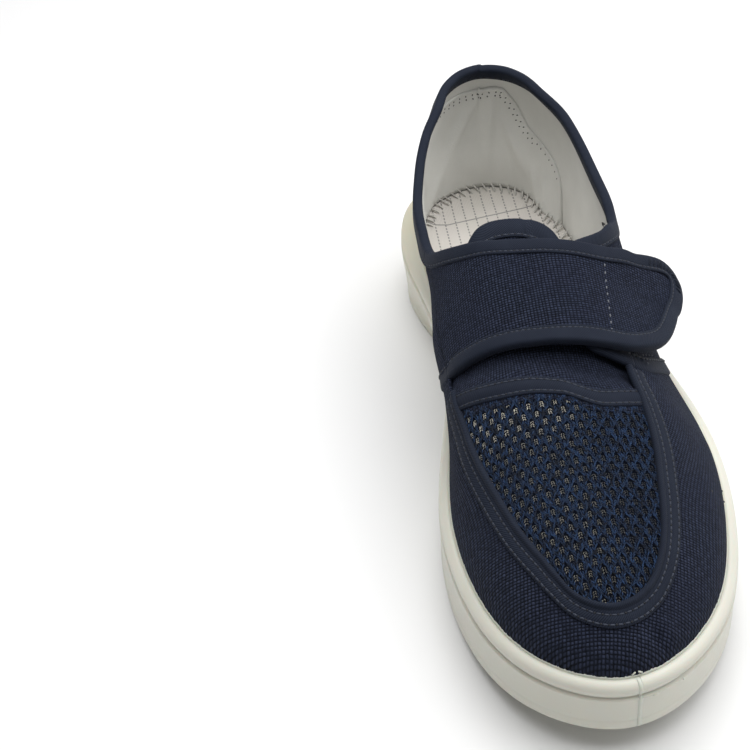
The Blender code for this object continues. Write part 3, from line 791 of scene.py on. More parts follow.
def backing_finish():
    """Dark knit under the open mesh."""
    f = Finish("mesh_backing", {"Roughness": 0.95, "Specular IOR Level": 0.2})
    height = f.weave(*KNIT_PITCH)[0]
    # the knit's raised loops painted paler and its hollows darker: painted shade of the relief
    return f.done(f.mix(height, (0.0015, 0.002, 0.004), (0.008, 0.012, 0.026)), f.bump(height, 0.15))


def sole_finish():
    """Off-white moulded sole: a soft gloss, faint flow marks, yellowed toward the heel, tread below."""
    f = Finish("moulded_sole", {"Roughness": 0.42, "Specular IOR Level": 0.42, "Subsurface Weight": 0.12,
                                "Subsurface Scale": 0.004})
    place_on = f.position()
    across, back, _ = f.split(place_on)
    cloud = f.noise(place_on, 18.0, 3.0)
    fine = f.noise(place_on, 900.0, 3.0)
    colour = f.mix(cloud, (0.655, 0.647, 0.56), (0.715, 0.708, 0.628))
    old = f.times(f.between(back, 0.03, 0.13), f.between(across, 0.03, -0.04))
    old = f.times(old, f.between(cloud, 0.3, 0.7, 0.15, 0.6))
    colour = f.mix(old, colour, (0.76, 0.70, 0.46))
    speck = f.between(f.noise(place_on, 260.0, 5.0), 0.72, 0.78)
    colour = f.mix(f.times(speck, 0.35), colour, (0.30, 0.28, 0.24))
    under = f.attribute("shade").outputs["Fac"]
    ribs = f.ridge(f.times(f.plus(across, back), 340.0))
    other = f.ridge(f.times(f.math("SUBTRACT", across, back), 340.0))
    tread = f.times(f.times(f.math("MINIMUM", ribs, other), under), 6.0)
    relief = f.plus(f.times(fine, 0.35), tread)
    relief = f.plus(relief, f.times(f.noise(place_on, 60.0, 2.0), 2.0))
    return f.done(colour, f.bump(relief, 0.07), f.between(fine, 0.3, 0.7, 0.36, 0.5))


def lining_finish():
    """Grey-white brushed lining."""
    f = Finish("lining", {"Roughness": 0.9, "Sheen Weight": 0.15, "Specular IOR Level": 0.2})
    place_on = f.position()
    cloud = f.noise(place_on, 30.0, 4.0)
    fuzz = f.noise(place_on, 1600.0, 3.0)
    colour = f.mix(f.between(cloud, 0.3, 0.7), (0.70, 0.70, 0.665), (0.80, 0.80, 0.765))
    colour = f.mix(f.times(fuzz, 0.18), colour, (0.56, 0.56, 0.54))
    relief = f.plus(fuzz, f.times(cloud, 3.0))
    return f.done(colour, f.bump(relief, 0.12))


LINE_PITCH = 4.7       # between the insole's dotted lines
DOT_PITCH = 2.2        # between their dots
CROSS_PITCH = 44.0     # between its cross lines
CROSS_FIRST = 27.5     # station of the first of them
CROSS_LEAN = 0.18


def insole_finish():
    """Cream cloth with dotted lines along it and thin lines across."""
    f = Finish("insole_cloth", {"Roughness": 0.85, "Specular IOR Level": 0.2})
    cloth = f.attribute("cloth").outputs["Vector"]
    across, along = f.split(cloth)[:2]
    shifted = f.plus(f.math("DIVIDE", across, LINE_PITCH), 0.5)
    lengthwise = f.between(f.ridge(shifted), 0.14, 0.26, 1.0, 0.0)
    dots = f.between(f.ridge(f.math("DIVIDE", along, DOT_PITCH)), 0.45, 0.7)
    slanted = f.plus(along, f.times(across, CROSS_LEAN))
    slanted = f.math("SUBTRACT", slanted, CROSS_FIRST)
    crossing = f.between(f.ridge(f.math("DIVIDE", slanted, CROSS_PITCH)), 0.016, 0.034, 1.0, 0.0)
    lines = f.math("MAXIMUM", f.times(lengthwise, dots), crossing)
    cloud = f.noise(cloth, 0.03, 3.0)
    weave = f.weave(*INSOLE_PITCH)[0]
    colour = f.mix(f.between(cloud, 0.3, 0.7), (0.70, 0.67, 0.62), (0.74, 0.70, 0.665))
    colour = f.mix(f.times(lines, 0.72), colour, (0.16, 0.16, 0.16))
    return f.done(colour, f.bump(weave, 0.08))


CANVAS_CLOTH = canvas_finish()
TAPE_CLOTH = tape_finish()
SOLE_MOULDED = sole_finish()
LINING_CLOTH = lining_finish()
INSOLE_CLOTH = insole_finish()
THREAD = stitch_finish("navy_thread", (0.012, 0.016, 0.028), (0.045, 0.056, 0.085))
SEAM_THREAD = stitch_finish("seam_thread", (0.05, 0.055, 0.07), (0.24, 0.25, 0.28))
PALE_THREAD = stitch_finish("pale_thread", (0.45, 0.44, 0.41), (0.66, 0.65, 0.61))
# dark thread and specks, and also the painted shade in needle holes, pinholes and the gap beside the insole
DARK_THREAD_AND_SHADE = stitch_finish("dark_thread_and_painted_shade", (0.004, 0.005, 0.008), (0.015, 0.017, 0.024))
YARN = yarn_finish("mesh_yarn", (0.001, 0.003, 0.009), (0.022, 0.058, 0.145), 0.55)
SPACER = yarn_finish("spacer_yarn", (0.006, 0.008, 0.012), (0.86, 0.82, 0.69), 0.45)
BACKING = backing_finish()

# Side of the sole from the floor up, by the level it is measured from: out from the outer line, height
SIDE_ROWS = {
    "underside": [
        (-1.4, 0.0), (-0.75, 0.2), (-0.3, 0.6), (-0.1, 1.2), (0.0, 2.4), (-0.02, 3.7), (-0.08, 4.1),
        (-0.2, 4.45), (-0.22, 4.75), (-0.14, 5.2), (-0.12, 6.6),
    ],
    "rim": [
        (-0.2, -9.6), (-0.2, -7.7), (-0.12, -7.1), (-0.05, -6.7), (-0.12, -6.35), (-0.45, -6.1),
        (-0.95, -5.9), (-1.15, -5.65), (-1.05, -5.35), (-0.75, -4.95), (-0.5, -4.4), (-0.32, -3.8),
        (-0.25, -3.2), (-0.3, -2.6), (-0.55, -1.9), (-1.0, -1.2), (-1.65, -0.6), (-2.4, -0.18),
        (-3.05, 0.0), (-3.65, -0.12), (-4.0, -0.6),
    ],
    "floor": [(-4.1, 0.0)],
}
SOLE_SIDE = [(*row, level) for level, rows in SIDE_ROWS.items() for row in rows]
LEVEL_COLUMN = {"underside": 1, "rim": 2, "floor": 3}

# Flare and tuck of the sole's medial side: station, outward at the bead and the wall's top, at the floor
SOLE_FLARE = np.array([
    (0, 0, 0), (12, 1.5, 1.5), (28, 3.2, 2.5), (46, 3.6, 2), (62, 2.8, -0.5), (78, 1.2, -4),
    (98, 0, -6), (128, -0.5, -6), (150, 0, -1.5), (172, 0, 0), (285, 0, 0),
], float)
BEAD_HALF = 3.0      # the flare fades out over this height below the rim
RIM_TOP = 2.6        # and the rim's top, this far in, keeps to the upper
FOOT_OUT = SOLE_SIDE[0][0]
UNDER_INSETS = np.array([0, 1.2, 3, 5.5, 8, 8.85, 9.15, 12])
UNDER_BODY = 14.0      # inset where the even middle of the underside begins
UNDER_FIT = 2.2        # the insets shrink where the sole is narrower than this many bodies
GROOVE_DRAFT = 0.15    # half the run of a groove's side


def sole_ring(u, out, height, measured_from):
    """Ring of the sole's side at a height above its underside, rim or cup floor."""
    station = edge(u, out)[1]
    under_rim = np.clip(-height / BEAD_HALF, 0, 1) * (out > -RIM_TOP)
    flare = {"underside": smooth(SOLE_FLARE, 2, station), "floor": 0,
             "rim": under_rim * smooth(SOLE_FLARE, 1, station)}[measured_from]
    x, s = edge(u, out + flare * (np.mod(u, 1.0) > 0.5))
    level = smooth(SOLE, LEVEL_COLUMN[measured_from], s)
    return np.stack([x, s, level + height], axis=-1)


def build_sole():
    """The moulded sole with its bead, groove, wall and bottom band, and the tread underneath."""
    grooves = np.concatenate([np.linspace(first, last, count) for _, first, last, count in TREAD])
    foot_station = edge(HALF_U, FOOT_OUT)[1]
    signs = itertools.product((-1, 1), (-1, 1))
    shifts = [way * GROOVE_WIDTH / 2 + step * GROOVE_DRAFT for way, step in signs]
    marks = [groove + shift for groove in grooves for shift in shifts]
    lateral = np.concatenate([np.linspace(0, 0.5, 221), np.interp(marks, foot_station, HALF_U)])
    lateral = np.unique(np.round(lateral, 5))
    u = np.concatenate([lateral, 1 - lateral[-2:0:-1]])
    side = np.stack([sole_ring(u, *row) for row in SOLE_SIDE], axis=1)
    rows, columns = side.shape[:2]
    faces = grid_faces(rows, columns, wrap_rows=True).tolist()
    for corners in cross_corners(rows):
        faces.append([k * columns + columns - 1 for k in corners])

    partner = (rows - np.arange(len(lateral))) % rows
    right, left = side[:len(lateral), 0], side[partner, 0]
    width = np.linalg.norm(right - left, axis=1)[:, None]
    fit = np.minimum(1, width / (UNDER_FIT * UNDER_BODY))
    near, body = [inset * fit / np.maximum(width, 1e-6) for inset in (UNDER_INSETS, UNDER_BODY)]
    middle = body + (1 - 2 * body) * np.linspace(0, 1, 11)
    part = np.concatenate([near, middle, 1 - near[:, ::-1]], axis=1)
    under = left[:, None] + (right - left)[:, None] * part[..., None]
    station = np.interp(lateral, HALF_U, foot_station)[:, None]
    in_row = np.any(np.abs(station - grooves) < GROOVE_WIDTH / 2, axis=1)[:, None]
    in_column = np.minimum(part, 1 - part) * width > GROOVE_INSET
    under[..., 2] += GROOVE_DEPTH * (in_row & in_column)
    faces += grid_faces(*under.shape[:2], start=rows * columns).tolist()
    points = np.concatenate([side.reshape(-1, 3), under.reshape(-1, 3)])
    shade = np.concatenate([np.zeros(rows * columns), np.ones(under.shape[0] * under.shape[1])])
    add_piece("moulded_sole", points, [list(dict.fromkeys(face)) for face in faces], SOLE_MOULDED,
              shade=shade, stands_for=["sole"])


MOULD_LINE_U = 0.4947  # the moulds met here, just lateral of the toe
MOULD_ROWS = SOLE_SIDE[3:-2]
MOULD_TILT = 0.35      # how far the line's normal leans up
MOULD_SECTION = [(-0.8, -0.12), (-0.34, 0.24), (0.0, 0.36), (0.34, 0.24), (0.8, -0.12)]    # across, above
MOULD_BURRS = [(-0.003, -0.0005), (0.0025, 0.001)]   # u of each burr's foot and tip, from the line
BURR_FOOT = (0.6, 0.1)       # rise, out
BURR_TIP = (2.0, 0.6)
BURR_SIZE = (0.7, 0.5)
SOLE_NICKS = [(0.4895, 0.4865), (0.4735, 0.4722)]    # u where each nick in the lip begins and ends
NICK_HEIGHT = -6.6     # from the sole's rim
NICK_TILT = 0.8
NICK_SIZE = (0.9, 0.35)
BLEED_STEPS = 1500
BLEED_RISE = (0.25, 1.0, 0.45)         # least rise of the film, rise of its rough parts, of its spikes
BLEED_LEVEL = 0.38     # roughness that the rough parts rise from
BLEED_OUT = np.array([0.42, 0.34, 0.2, 0.06])        # its outer face, from the sole up
BLEED_UNDER = -0.2


def build_sole_marks():
    """Flash line of the mould, nicks in the lip, and the ragged film where the sole bled onto the canvas."""
    at = np.array([MOULD_LINE_U])
    path = np.array([sole_ring(at, out + 0.02, height, level)[0] for out, height, level in MOULD_ROWS])
    away = unit(np.array([*outward_at(MOULD_LINE_U), MOULD_TILT]))
    normals = np.tile(away, (len(path), 1))
    band("mould_line", ribbon(path, normals, MOULD_SECTION), SOLE_MOULDED)
    first, last = [sole_ring(np.array(ends), 0.05, NICK_HEIGHT, "rim") for ends in zip(*SOLE_NICKS)]
    nick_up = np.array([[*outward_at(start), NICK_TILT] for start, _ in SOLE_NICKS])
    add_rods("sole_nicks", (first, last, nick_up), NICK_SIZE, SOLE_MOULDED)

    u = np.linspace(0, 1, BLEED_STEPS + 1)[:-1]
    rough = random.random(len(u))
    for _ in range(2):
        rough = (np.roll(rough, 1) + rough + np.roll(rough, -1)) / 3
    spike = random.random(len(u)) ** 6
    least, rough_rise, spike_rise = BLEED_RISE
    top = least + rough_rise * np.clip(rough - BLEED_LEVEL, 0, None) + spike_rise * spike
    rise = np.stack([np.full_like(u, -1.2), np.full_like(u, 0.05), top * 0.7, top], axis=1)
    cloth = np.stack(np.broadcast_arrays(u[:, None] * ROUND, rise), axis=-1)
    outer, inner = [place(u[:, None], rise, out) for out in (BLEED_OUT, BLEED_UNDER)]
    sheet("sole_bleed", outer, inner, cloth, SOLE_MOULDED, wrap=True)
    feet, tips = MOULD_LINE_U + np.array(MOULD_BURRS).T
    burrs = (place(feet, *BURR_FOOT), place(tips, *BURR_TIP), normals[:len(feet)])
    add_rods("mould_burr", burrs, BURR_SIZE, SOLE_MOULDED)


# Soft hollows and swells of the canvas: place, u, rise, half length, half width, lean, out
CREASES = [
    ("vamp_lateral_hollow", 0.346, 20, 24, 8, 18, -0.8),
    ("vamp_lateral_swell", 0.395, 13, 16, 7, -12, 0.5),
    ("ball_lateral_hollow", 0.289, 12, 14, 8, 35, -0.6),
    ("quarter_lateral_hollow", 0.196, 21, 30, 9, 6, -0.9),
    ("quarter_lateral_fold", 0.254, 26, 16, 3.5, 55, 0.5),
    ("heel_lateral_hollow", 0.101, 24, 20, 8, -10, -0.6),
    ("vamp_medial_hollow", 0.645, 13, 24, 6, 6, -0.6),
    ("vamp_medial_swell", 0.592, 12, 14, 6, 10, 0.4),
    ("quarter_medial_hollow", 0.817, 20, 34, 9, -5, -0.9),
    ("quarter_medial_fold", 0.759, 22, 15, 4, -50, 0.5),
    ("heel_medial_hollow", 0.905, 26, 18, 8, 12, -0.6),
    ("toe_lateral_trough", 0.481, 9, 9, 2.6, 72, -0.8),
    ("toe_lateral_ridge", 0.473, 9, 9, 2.8, 72, 0.5),
]
CREASE_FOOT = (1, 8)   # rises over which the creases grow above the sole
CREASE_TOP = (2, 10)   # and below the top edge
ROUND = 634.0          # length of the feather line for each unit of u


def soft_folds(table, u, rise):
    """Sum of soft ridges and troughs at a place of the wall."""
    total = np.zeros(np.broadcast(u, rise).shape)
    for _, u_at, rise_at, length, width, lean, depth in table:
        turn = math.radians(lean)
        ahead = (u - u_at) * (ROUND if u_at <= 0.5 else -ROUND)
        above = rise - rise_at
        along = ahead * math.cos(turn) + above * math.sin(turn)
        across = above * math.cos(turn) - ahead * math.sin(turn)
        total = total + depth * np.exp(-(along / length) ** 2 - (across / width) ** 2)
    return total


def crease(u, rise):
    """How far the canvas stands off its plain form; nothing at its edges."""
    out = soft_folds(CREASES, np.mod(u, 1.0), rise)
    return out * fade(*CREASE_FOOT, rise) * fade(*CREASE_TOP, top_rise(u) - rise)


GRAIN = math.radians(12)     # turn of the weave against the shoe
TOE_PLAN = 0.9         # share of the plan view in the weave at the toe
TOE_RUN = (175, 245)   # stations over which it comes in
HEEL_RUN = (80, 45)    # stations over which the weave turns round the heel
HEEL_HALF = 34.0       # half width of the heel
HEEL_TURN = 20.0       # extra length of the way round the heel, against its station
BACK_SEAM = 0.9998     # the weave of the two quarters meets here, at the back


def canvas_cloth(u, rise):
    """Weave coordinates of the upper: walls laid flat inward, toe seen from above, heel unrolled."""
    x, s = edge(u, -RIM)
    out_x, out_s = outward_at(u)
    plan = base(np.broadcast_to(u, rise.shape), rise)
    toe = TOE_PLAN * fade(*TOE_RUN, s)
    across = (x - out_x * rise) * (1 - toe) + plan[..., 0] * toe
    along = (s - out_s * rise) * (1 - toe) + plan[..., 1] * toe
    heel = fade(*HEEL_RUN, s)
    side = np.where(u < 0.5, 1.0, -1.0)
    across = across * (1 - heel) + side * (HEEL_HALF - rise) * heel
    along = along * (1 - heel) + (ROUND * np.minimum(u, 1 - u) - HEEL_TURN) * heel
    return np.stack([across * math.cos(GRAIN) + along * math.sin(GRAIN),
                     along * math.cos(GRAIN) - across * math.sin(GRAIN)], axis=-1)


UPPER_FOOT = 3.0       # the canvas goes this far below the feather line
LINING_GAP = 0.5       # left free at the lining's edges
LINING_DROP = 9.0      # how much lower it ends beside the throat
LINING_RUN = (146, 162)      # stations over which it drops


def build_upper():
    """Canvas of the vamp and quarters, and the lining inside it."""
    u = np.linspace(0, BACK_SEAM, 480)[:, None]
    rise = -UPPER_FOOT + (top_rise(u) + UPPER_FOOT) * np.linspace(0, 1, 45)
    out = crease(u, rise)
    sheet("canvas_upper", place(u, rise, out), place(u, rise, np.minimum(out, 0) - CANVAS),
          canvas_cloth(u, rise), CANVAS_CLOTH, wrap=True, stands_for=["upper"])
    u = np.linspace(0, 1, 241)[:-1][:, None]
    station = edge(u, -RIM)[1]
    bottom = smooth(SOLE, 3, station) + LINING_GAP - smooth(SOLE, 2, station)
    below = LINING_GAP + LINING_DROP * fade(*LINING_RUN, station)
    rise = bottom + (top_rise(u) - below - bottom) * np.linspace(0, 1, 28)
    sheet("lining", place(u, rise, -CANVAS), place(u, rise, -WALL), canvas_cloth(u, rise),
          LINING_CLOTH, wrap=True)


# Top of the heel pocket inside the shoe: u, rise above the feather line
POCKET = np.array([
    (-0.125, -9), (-0.118, 8), (-0.108, 22), (-0.095, 31), (-0.08, 35.5), (-0.06, 38), (-0.045, 39.5),
    (-0.031, 40.8), (-0.015, 41), (0.0, 41.2), (0.009, 42.4), (0.016, 42.2), (0.021, 39), (0.026, 35),
    (0.032, 28.5), (0.037, 24), (0.048, 20), (0.06, 17.2), (0.07, 14.2), (0.077, 9.5), (0.0805, 3),
    (0.082, -9),
], float)

# Its rolled edge: below the top, thicker by
POCKET_EDGE = [(2.2, 0.0), (1.6, 0.05), (1.1, 0.3), (0.7, 0.35), (0.3, 0.2), (0.0, -0.3)]
POCKET_OUT = -WALL - 0.05    # its hidden face, from the upper's outer one
POCKET_WALL = 0.6
FOLD_FLOOR = -0.45     # hollows of the folds go no deeper

# Soft folds of the pocket: place, u, rise, half length, half width, lean, inward
POCKET_FOLDS = [
    ("back_seam", 0.007, 24, 16, 2.6, 86, 1.6), ("left_fold", -0.014, 24, 13, 3.0, 58, 1.8),
    ("left_hollow", -0.026, 20, 12, 3.6, 64, -0.5), ("right_fold", 0.026, 14, 13, 3.2, -62, 1.9),
    ("right_hollow", 0.018, 10, 12, 3.4, -70, -0.5), ("low_left", -0.045, 2, 9, 3.0, 35, 1.5),
    ("low_right", 0.046, 0, 8, 2.0, -68, 1.2), ("low_front", 0.06, -1, 9, 2.0, -78, 1.2),
    ("top_pucker", -0.002, 37, 5, 1.6, 70, 0.6),
]
PINHOLE_ROWS = [(2.6, -0.06, 0.0765), (4.6, -0.055, 0.046)]     # inside the pocket's edge, from u, to u
PINHOLE_PITCH = 3.1
PINHOLE_SHARE = 0.2
PINHOLE_SIZE = (1.0, 0.3)
BULGE = 3.6            # of the pocket over the insole
BULGE_U = 0.062
BULGE_HALF = 0.022     # half its width, in u

# Rise of the insole's edge where the heel cups it: u, upward
CUP = np.array([
    (-0.25, 0), (-0.2, 1.5), (-0.1, 4.4), (-0.055, 4.6), (-0.03, 3.0), (0, 2.0), (0.04, 1.0), (0.08, 0),
    (0.25, 0),
], float)


def from_heel(u):
    """u counted from the heel both ways, medial negative."""
    return np.mod(u + 0.5, 1.0) - 0.5


def cup(u):
    """Rise of the insole's edge."""
    return smooth(CUP, 1, from_heel(u))


def heel_bulge(u):
    """How far the pocket bulges over the insole on its lateral side."""
    return BULGE * np.exp(-((from_heel(u) - BULGE_U) / BULGE_HALF) ** 2)


def pocket_folds(u, rise):
    """How far the pocket's folds stand in from its plain form."""
    return np.maximum(soft_folds(POCKET_FOLDS, u, rise), FOLD_FLOOR)


def pocket_row(inside, first, last):
    """Line inside the pocket's edge, as u and rise."""
    u = np.linspace(first, last, 400)
    rise = smooth(POCKET, 1, u)
    ahead, climb = np.gradient(u) * ROUND, np.gradient(rise)
    step = np.hypot(ahead, climb)
    return u + inside * climb / step / ROUND, rise - inside * ahead / step


def build_heel_pocket():
    """Pocket over the heel counter, with its folds and pinhole rows."""
    u = np.linspace(POCKET[0, 0], POCKET[-1, 0], 261)[:, None]
    station = edge(u, -RIM)[1]
    bottom = smooth(SOLE, 3, station) + INSOLE + 0.3 + cup(u) - smooth(SOLE, 2, station)
    top = np.maximum(smooth(POCKET, 1, u), bottom + 3.0)
    below, thicker = np.array(POCKET_EDGE).T
    part = np.linspace(0, 1, 24)[:-1]
    rise = np.concatenate([bottom + (top - below[0] - bottom) * part, top - below], axis=1)
    part = np.concatenate([part, np.ones(len(below))])
    thick = POCKET_WALL + pocket_folds(u, rise)
    thick = thick + heel_bulge(u) * (1 - part) ** 1.5
    thick = thick + np.concatenate([np.zeros(len(part) - len(below)), thicker])
    sheet("heel_pocket", place(u, rise, POCKET_OUT - thick), place(u, rise, POCKET_OUT),
          canvas_cloth(u, rise), LINING_CLOTH)
    rows = []
    for inside, first, last in PINHOLE_ROWS:
        path_u, path_rise = pocket_row(inside, first, last)
        out = POCKET_OUT - POCKET_WALL - 0.02 - pocket_folds(path_u, path_rise)
        line = row_of(place(path_u, path_rise, out), place(path_u, path_rise, out - 1.0))
        rows.append(stitch_row(*line, PINHOLE_PITCH, PINHOLE_SHARE))
    # dark rods at the pinholes: painted shade in them
    add_rods("pocket_pinhole_shade", joined(rows), PINHOLE_SIZE, DARK_THREAD_AND_SHADE)


INSOLE_OUT = -RIM - WALL - 0.3         # edge of the insole, from the sole's outer line

# Section of its edge from the foot up: inward, above the cup floor, share of the heel's cup
INSOLE_SECTION = [
    (0.0, 0.3, 0.0), (0.0, INSOLE - 0.5, 1.0), (0.2, INSOLE, 1.0), (0.8, INSOLE + 0.3, 1.0),
    (4.0, INSOLE + 0.28, 0.45), (9.0, INSOLE + 0.2, 0.12),
]
WHIP_COUNT = 46
WHIP_RUN = (-0.075, 0.23)    # u of the first and the last whip stitch
WHIP_SIZE = (0.95, 0.7)
GAP_SHADE_RUN = (-0.08, 0.07)      # u of the ends of the painted shade in the gap beside the insole
GAP_SHADE_SECTION = [(-0.6, 0.0), (0, 0.15), (0.6, 0.0), (0, -0.2)]


def build_insole():
    """Insole with rounded edges, the whip stitches that hold its edge and a dark band beside it that paints
    the shade in the gap there.
    """
    u = np.linspace(0, 1, 241)[:-1]
    rings = [sole_ring(u, INSOLE_OUT - inward, lift + share * cup(u), "floor")
             for inward, lift, share in INSOLE_SECTION]
    rings = np.stack(rings, axis=1)
    count, columns = rings.shape[:2]
    faces = grid_faces(count, columns, wrap_rows=True).tolist()
    for corners in cross_corners(count):
        faces.append([k * columns for k in corners])
        faces.append([k * columns + columns - 1 for k in corners])
    add_piece("insole_board", rings, faces, INSOLE_CLOTH, rings[..., :2], stands_for=["insole"])

    at = np.linspace(*WHIP_RUN, WHIP_COUNT) + random.normal(0, 0.001, WHIP_COUNT)
    out = INSOLE_OUT - heel_bulge(at)
    inner_out = out - 3.2 - random.random(WHIP_COUNT)
    inner = sole_ring(at + 0.004, inner_out, INSOLE + 0.5 + 0.6 * cup(at), "floor")
    outer = sole_ring(at, out + 0.2, INSOLE + 2.4 + cup(at), "floor")
    add_rods("insole_whip_stitch", (inner, outer, upright(WHIP_COUNT)), WHIP_SIZE, PALE_THREAD)
    # painted shade: a dark band down in the gap between the insole and the wall
    at = np.linspace(*GAP_SHADE_RUN, 120)
    low = sole_ring(at, INSOLE_OUT + 0.1 - heel_bulge(at), INSOLE + 0.45 + cup(at), "floor")
    band("insole_gap_shade", ribbon(low, upright(len(at)), GAP_SHADE_SECTION), DARK_THREAD_AND_SHADE)


# Section of the tape folded over a free edge: inside the edge, above the outer face
EDGE_SECTION = [
    (5.5, 0.0), (5.46, 0.5), (5.1, 0.78), (4.75, 0.74), (4.35, 0.42), (3.95, 0.74), (3.4, 0.84), (2.0, 0.9),
    (0.4, 0.92), (-0.35, 0.72), (-0.8, 0.2), (-0.95, -0.5), (-0.95, -1.5), (-0.8, -2.2), (-0.35, -2.7),
    (0.4, -2.9), (2.0, -2.9), (3.4, -2.84), (3.95, -2.74), (4.35, -2.45), (4.75, -2.74), (5.1, -2.78),
    (5.46, -2.5), (5.5, -2.03), (0.1, -2.03), (0.1, 0.0),
]
EDGE_STITCH = 4.35     # inside the edge
STITCH_UP = 0.56       # of the stitches above the outer face
STITCH_DOWN = 2.58     # of those inside the collar below it
EDGE_STEP = 0.8        # between the tape's rings
EDGE_WANDER = 0.35     # unevenness of the tape's width
CORNER_PASSES = 90     # of smoothing, which rounds the corners where edges meet
PATH_CORNER = (16, 4)        # rings from a corner between which the smoothing sets in, for the line
NORMAL_CORNER = (30, 10)     # and for its normals

# Free edges of the quarters in order: name, wall, share of the tape's height, stitch pitch, nodes
EDGE_PARTS = [
    ("front_medial", 0.6, 0.55, 2.4, []), ("strap", STRAP_WALL, 1.0, 1.95, ["strap_binding"]),
    ("collar", WALL, 1.0, 2.4, ["collar_binding"]), ("tab", TAB_CLOTH, 1.0, 2.4, ["tab_binding"]),
    ("front_lateral", 0.6, 0.55, 2.4, []),
]
STRAP_PART = 1
COLLAR_PART = 2
PLEATS = (-6.0, 20.0, 2.1)     # first and last, measured along the strap's edge from its tip, and pitch
PLEAT_SIZE = (0.95, 0.9)


def even_steps(path, normals, step):
    """A line and its normals at even steps along it."""
    run = run_along(path)
    at = np.linspace(0, run[-1], int(run[-1] / step) + 1)
    return at_run(at, run, path), at_run(at, run, normals)


def soften(values, passes, weight=1.0):
    """Running mean that leaves the ends; weight says how much each row gives way."""
    values = values.copy()
    for _ in range(passes):
        mean = (values[:-2] + 2 * values[1:-1] + values[2:]) / 4
        values[1:-1] += (mean - values[1:-1]) * (weight[1:-1] if np.ndim(weight) else weight)
    return values


def wall_line(u, rise, out):
    """Line on the upper and its normals."""
    return row_of(place(u, rise, out), place(u, rise, out + 1.0))


def on_flap(lift, ridge, reach, above):
    """Point above a flap's underside, square to the flap itself."""
    def under(ahead, down):
        return instep(ridge + ahead, reach + down, lift(ridge + ahead, reach + down))

    normal = unit(np.cross(under(0.5, 0) - under(-0.5, 0), under(0, 0.5) - under(0, -0.5)))
    away = instep(ridge, reach, lift(ridge, reach) + 1.0) - under(0, 0)
    normal = normal * np.sign(np.sum(normal * away, axis=-1))[..., None]
    return under(0, 0) + above * normal


def flap_edge(plane, lift, thickness, run):
    """Outer edge line of a flap from its front root round the free end to its rear root."""
    ridge, reach = flap_border(plane, run)[0].T
    return row_of(on_flap(lift, ridge, reach, thickness), on_flap(lift, ridge, reach, thickness + 1.0))


def joined_edge():
    """Free edge of the quarters in one line: strap, collar and tab, with both front edges."""
    strap = flap_edge(strap_plane, strap_lift, STRAP_WALL, STRAP_RUN)
    tab = flap_edge(tab_plane, tab_lift, TAB_CLOTH, TAB_RUN)
    low, high = [float(np.interp(ridge, RIDGE_AT, HALF_U)) for ridge in COLLAR_ENDS]
    u = np.linspace(-low, high, 400)
    collar = wall_line(u, top_rise(u), 0.0)
    fronts = []
    for way, top, foot in QUARTER_FRONTS:
        t = np.linspace(0, 1, 50)
        u = side_u(top, way) + (foot - side_u(top, way)) * t ** 1.4
        fronts.append(wall_line(u, (top_rise(u) - 0.4) * (1 - t) - 1.5 * t, 0.15 + 0.1 * fade(0.0, 0.3, t)))
    parts = [[line[::-1] for line in fronts[0]], strap, collar, [line[::-1] for line in tab], fronts[1]]
    rows = []
    for k, part in enumerate(parts):
        path, up = even_steps(*part, EDGE_STEP)
        rows.append((path, up, np.full(len(path), k)))
    path, up, owner = joined(rows)
    corners = np.flatnonzero(np.diff(owner))
    away = np.min(np.abs(np.arange(len(owner))[:, None] - corners), axis=1)[:, None]
    path = soften(path, CORNER_PASSES, fade(*PATH_CORNER, away))
    up = soften(up, CORNER_PASSES, fade(*NORMAL_CORNER, away))
    return path, unit(up), owner


def build_edge_tapes():
    """Tape round every free edge of the quarters, with its stitches and the pleats at the strap's tip."""
    path, up, owner = joined_edge()
    inward = unit(np.cross(up, np.gradient(path, axis=0)))
    inward = inward * -np.sign(inward[owner == COLLAR_PART, 2].mean())
    inward = unit(soften(inward, 40))
    walls, shares = [np.array([part[k] for part in EDGE_PARTS])[owner] for k in (1, 2)]
    thickness = soften(walls / WALL, 20)
    proud = soften(shares, 20)
    wander = soften(random.normal(0, 1.0, len(path)), 12) * EDGE_WANDER
    rings = []
    for inside, above in EDGE_SECTION:
        depth = above * (thickness if above < 0 else proud)
        shift = inside + wander * (inside > 3)
        line = path + shift[:, None] * inward + depth[:, None] * up
        rings.append(soften(line, int(6 * max(inside, 0))))
    rings = np.stack(rings, axis=1)
    stitch = soften(path + (EDGE_STITCH + wander)[:, None] * inward, int(6 * EDGE_STITCH))
    rows = []
    for k, (name, _, _, pitch, nodes) in enumerate(EDGE_PARTS):
        mine = np.flatnonzero(owner == k)
        mine = np.arange(mine[0], min(mine[-1] + 2, len(path)))
        band(name + "_tape", rings[mine], TAPE_CLOTH, stands_for=nodes)
        rows.append(stitch_row((stitch + STITCH_UP * up)[mine], up[mine], pitch))
        if k == COLLAR_PART:
            rows.append(stitch_row((stitch - STITCH_DOWN * up)[mine], -up[mine], pitch))
    add_tape_seam("edge_stitches", rows)
    strap = np.flatnonzero(owner == STRAP_PART)
    tip = strap[np.argmax(path[strap, 0])]
    at = tip + (np.arange(*PLEATS) / EDGE_STEP).astype(int)
    outer = path[at] + 0.9 * inward[at] + 0.95 * up[at]
    inner = path[at + 2] + 3.7 * inward[at + 2] + 0.85 * up[at + 2]
    add_rods("strap_pleats", (outer, inner, up[at]), PLEAT_SIZE, TAPE_CLOTH)


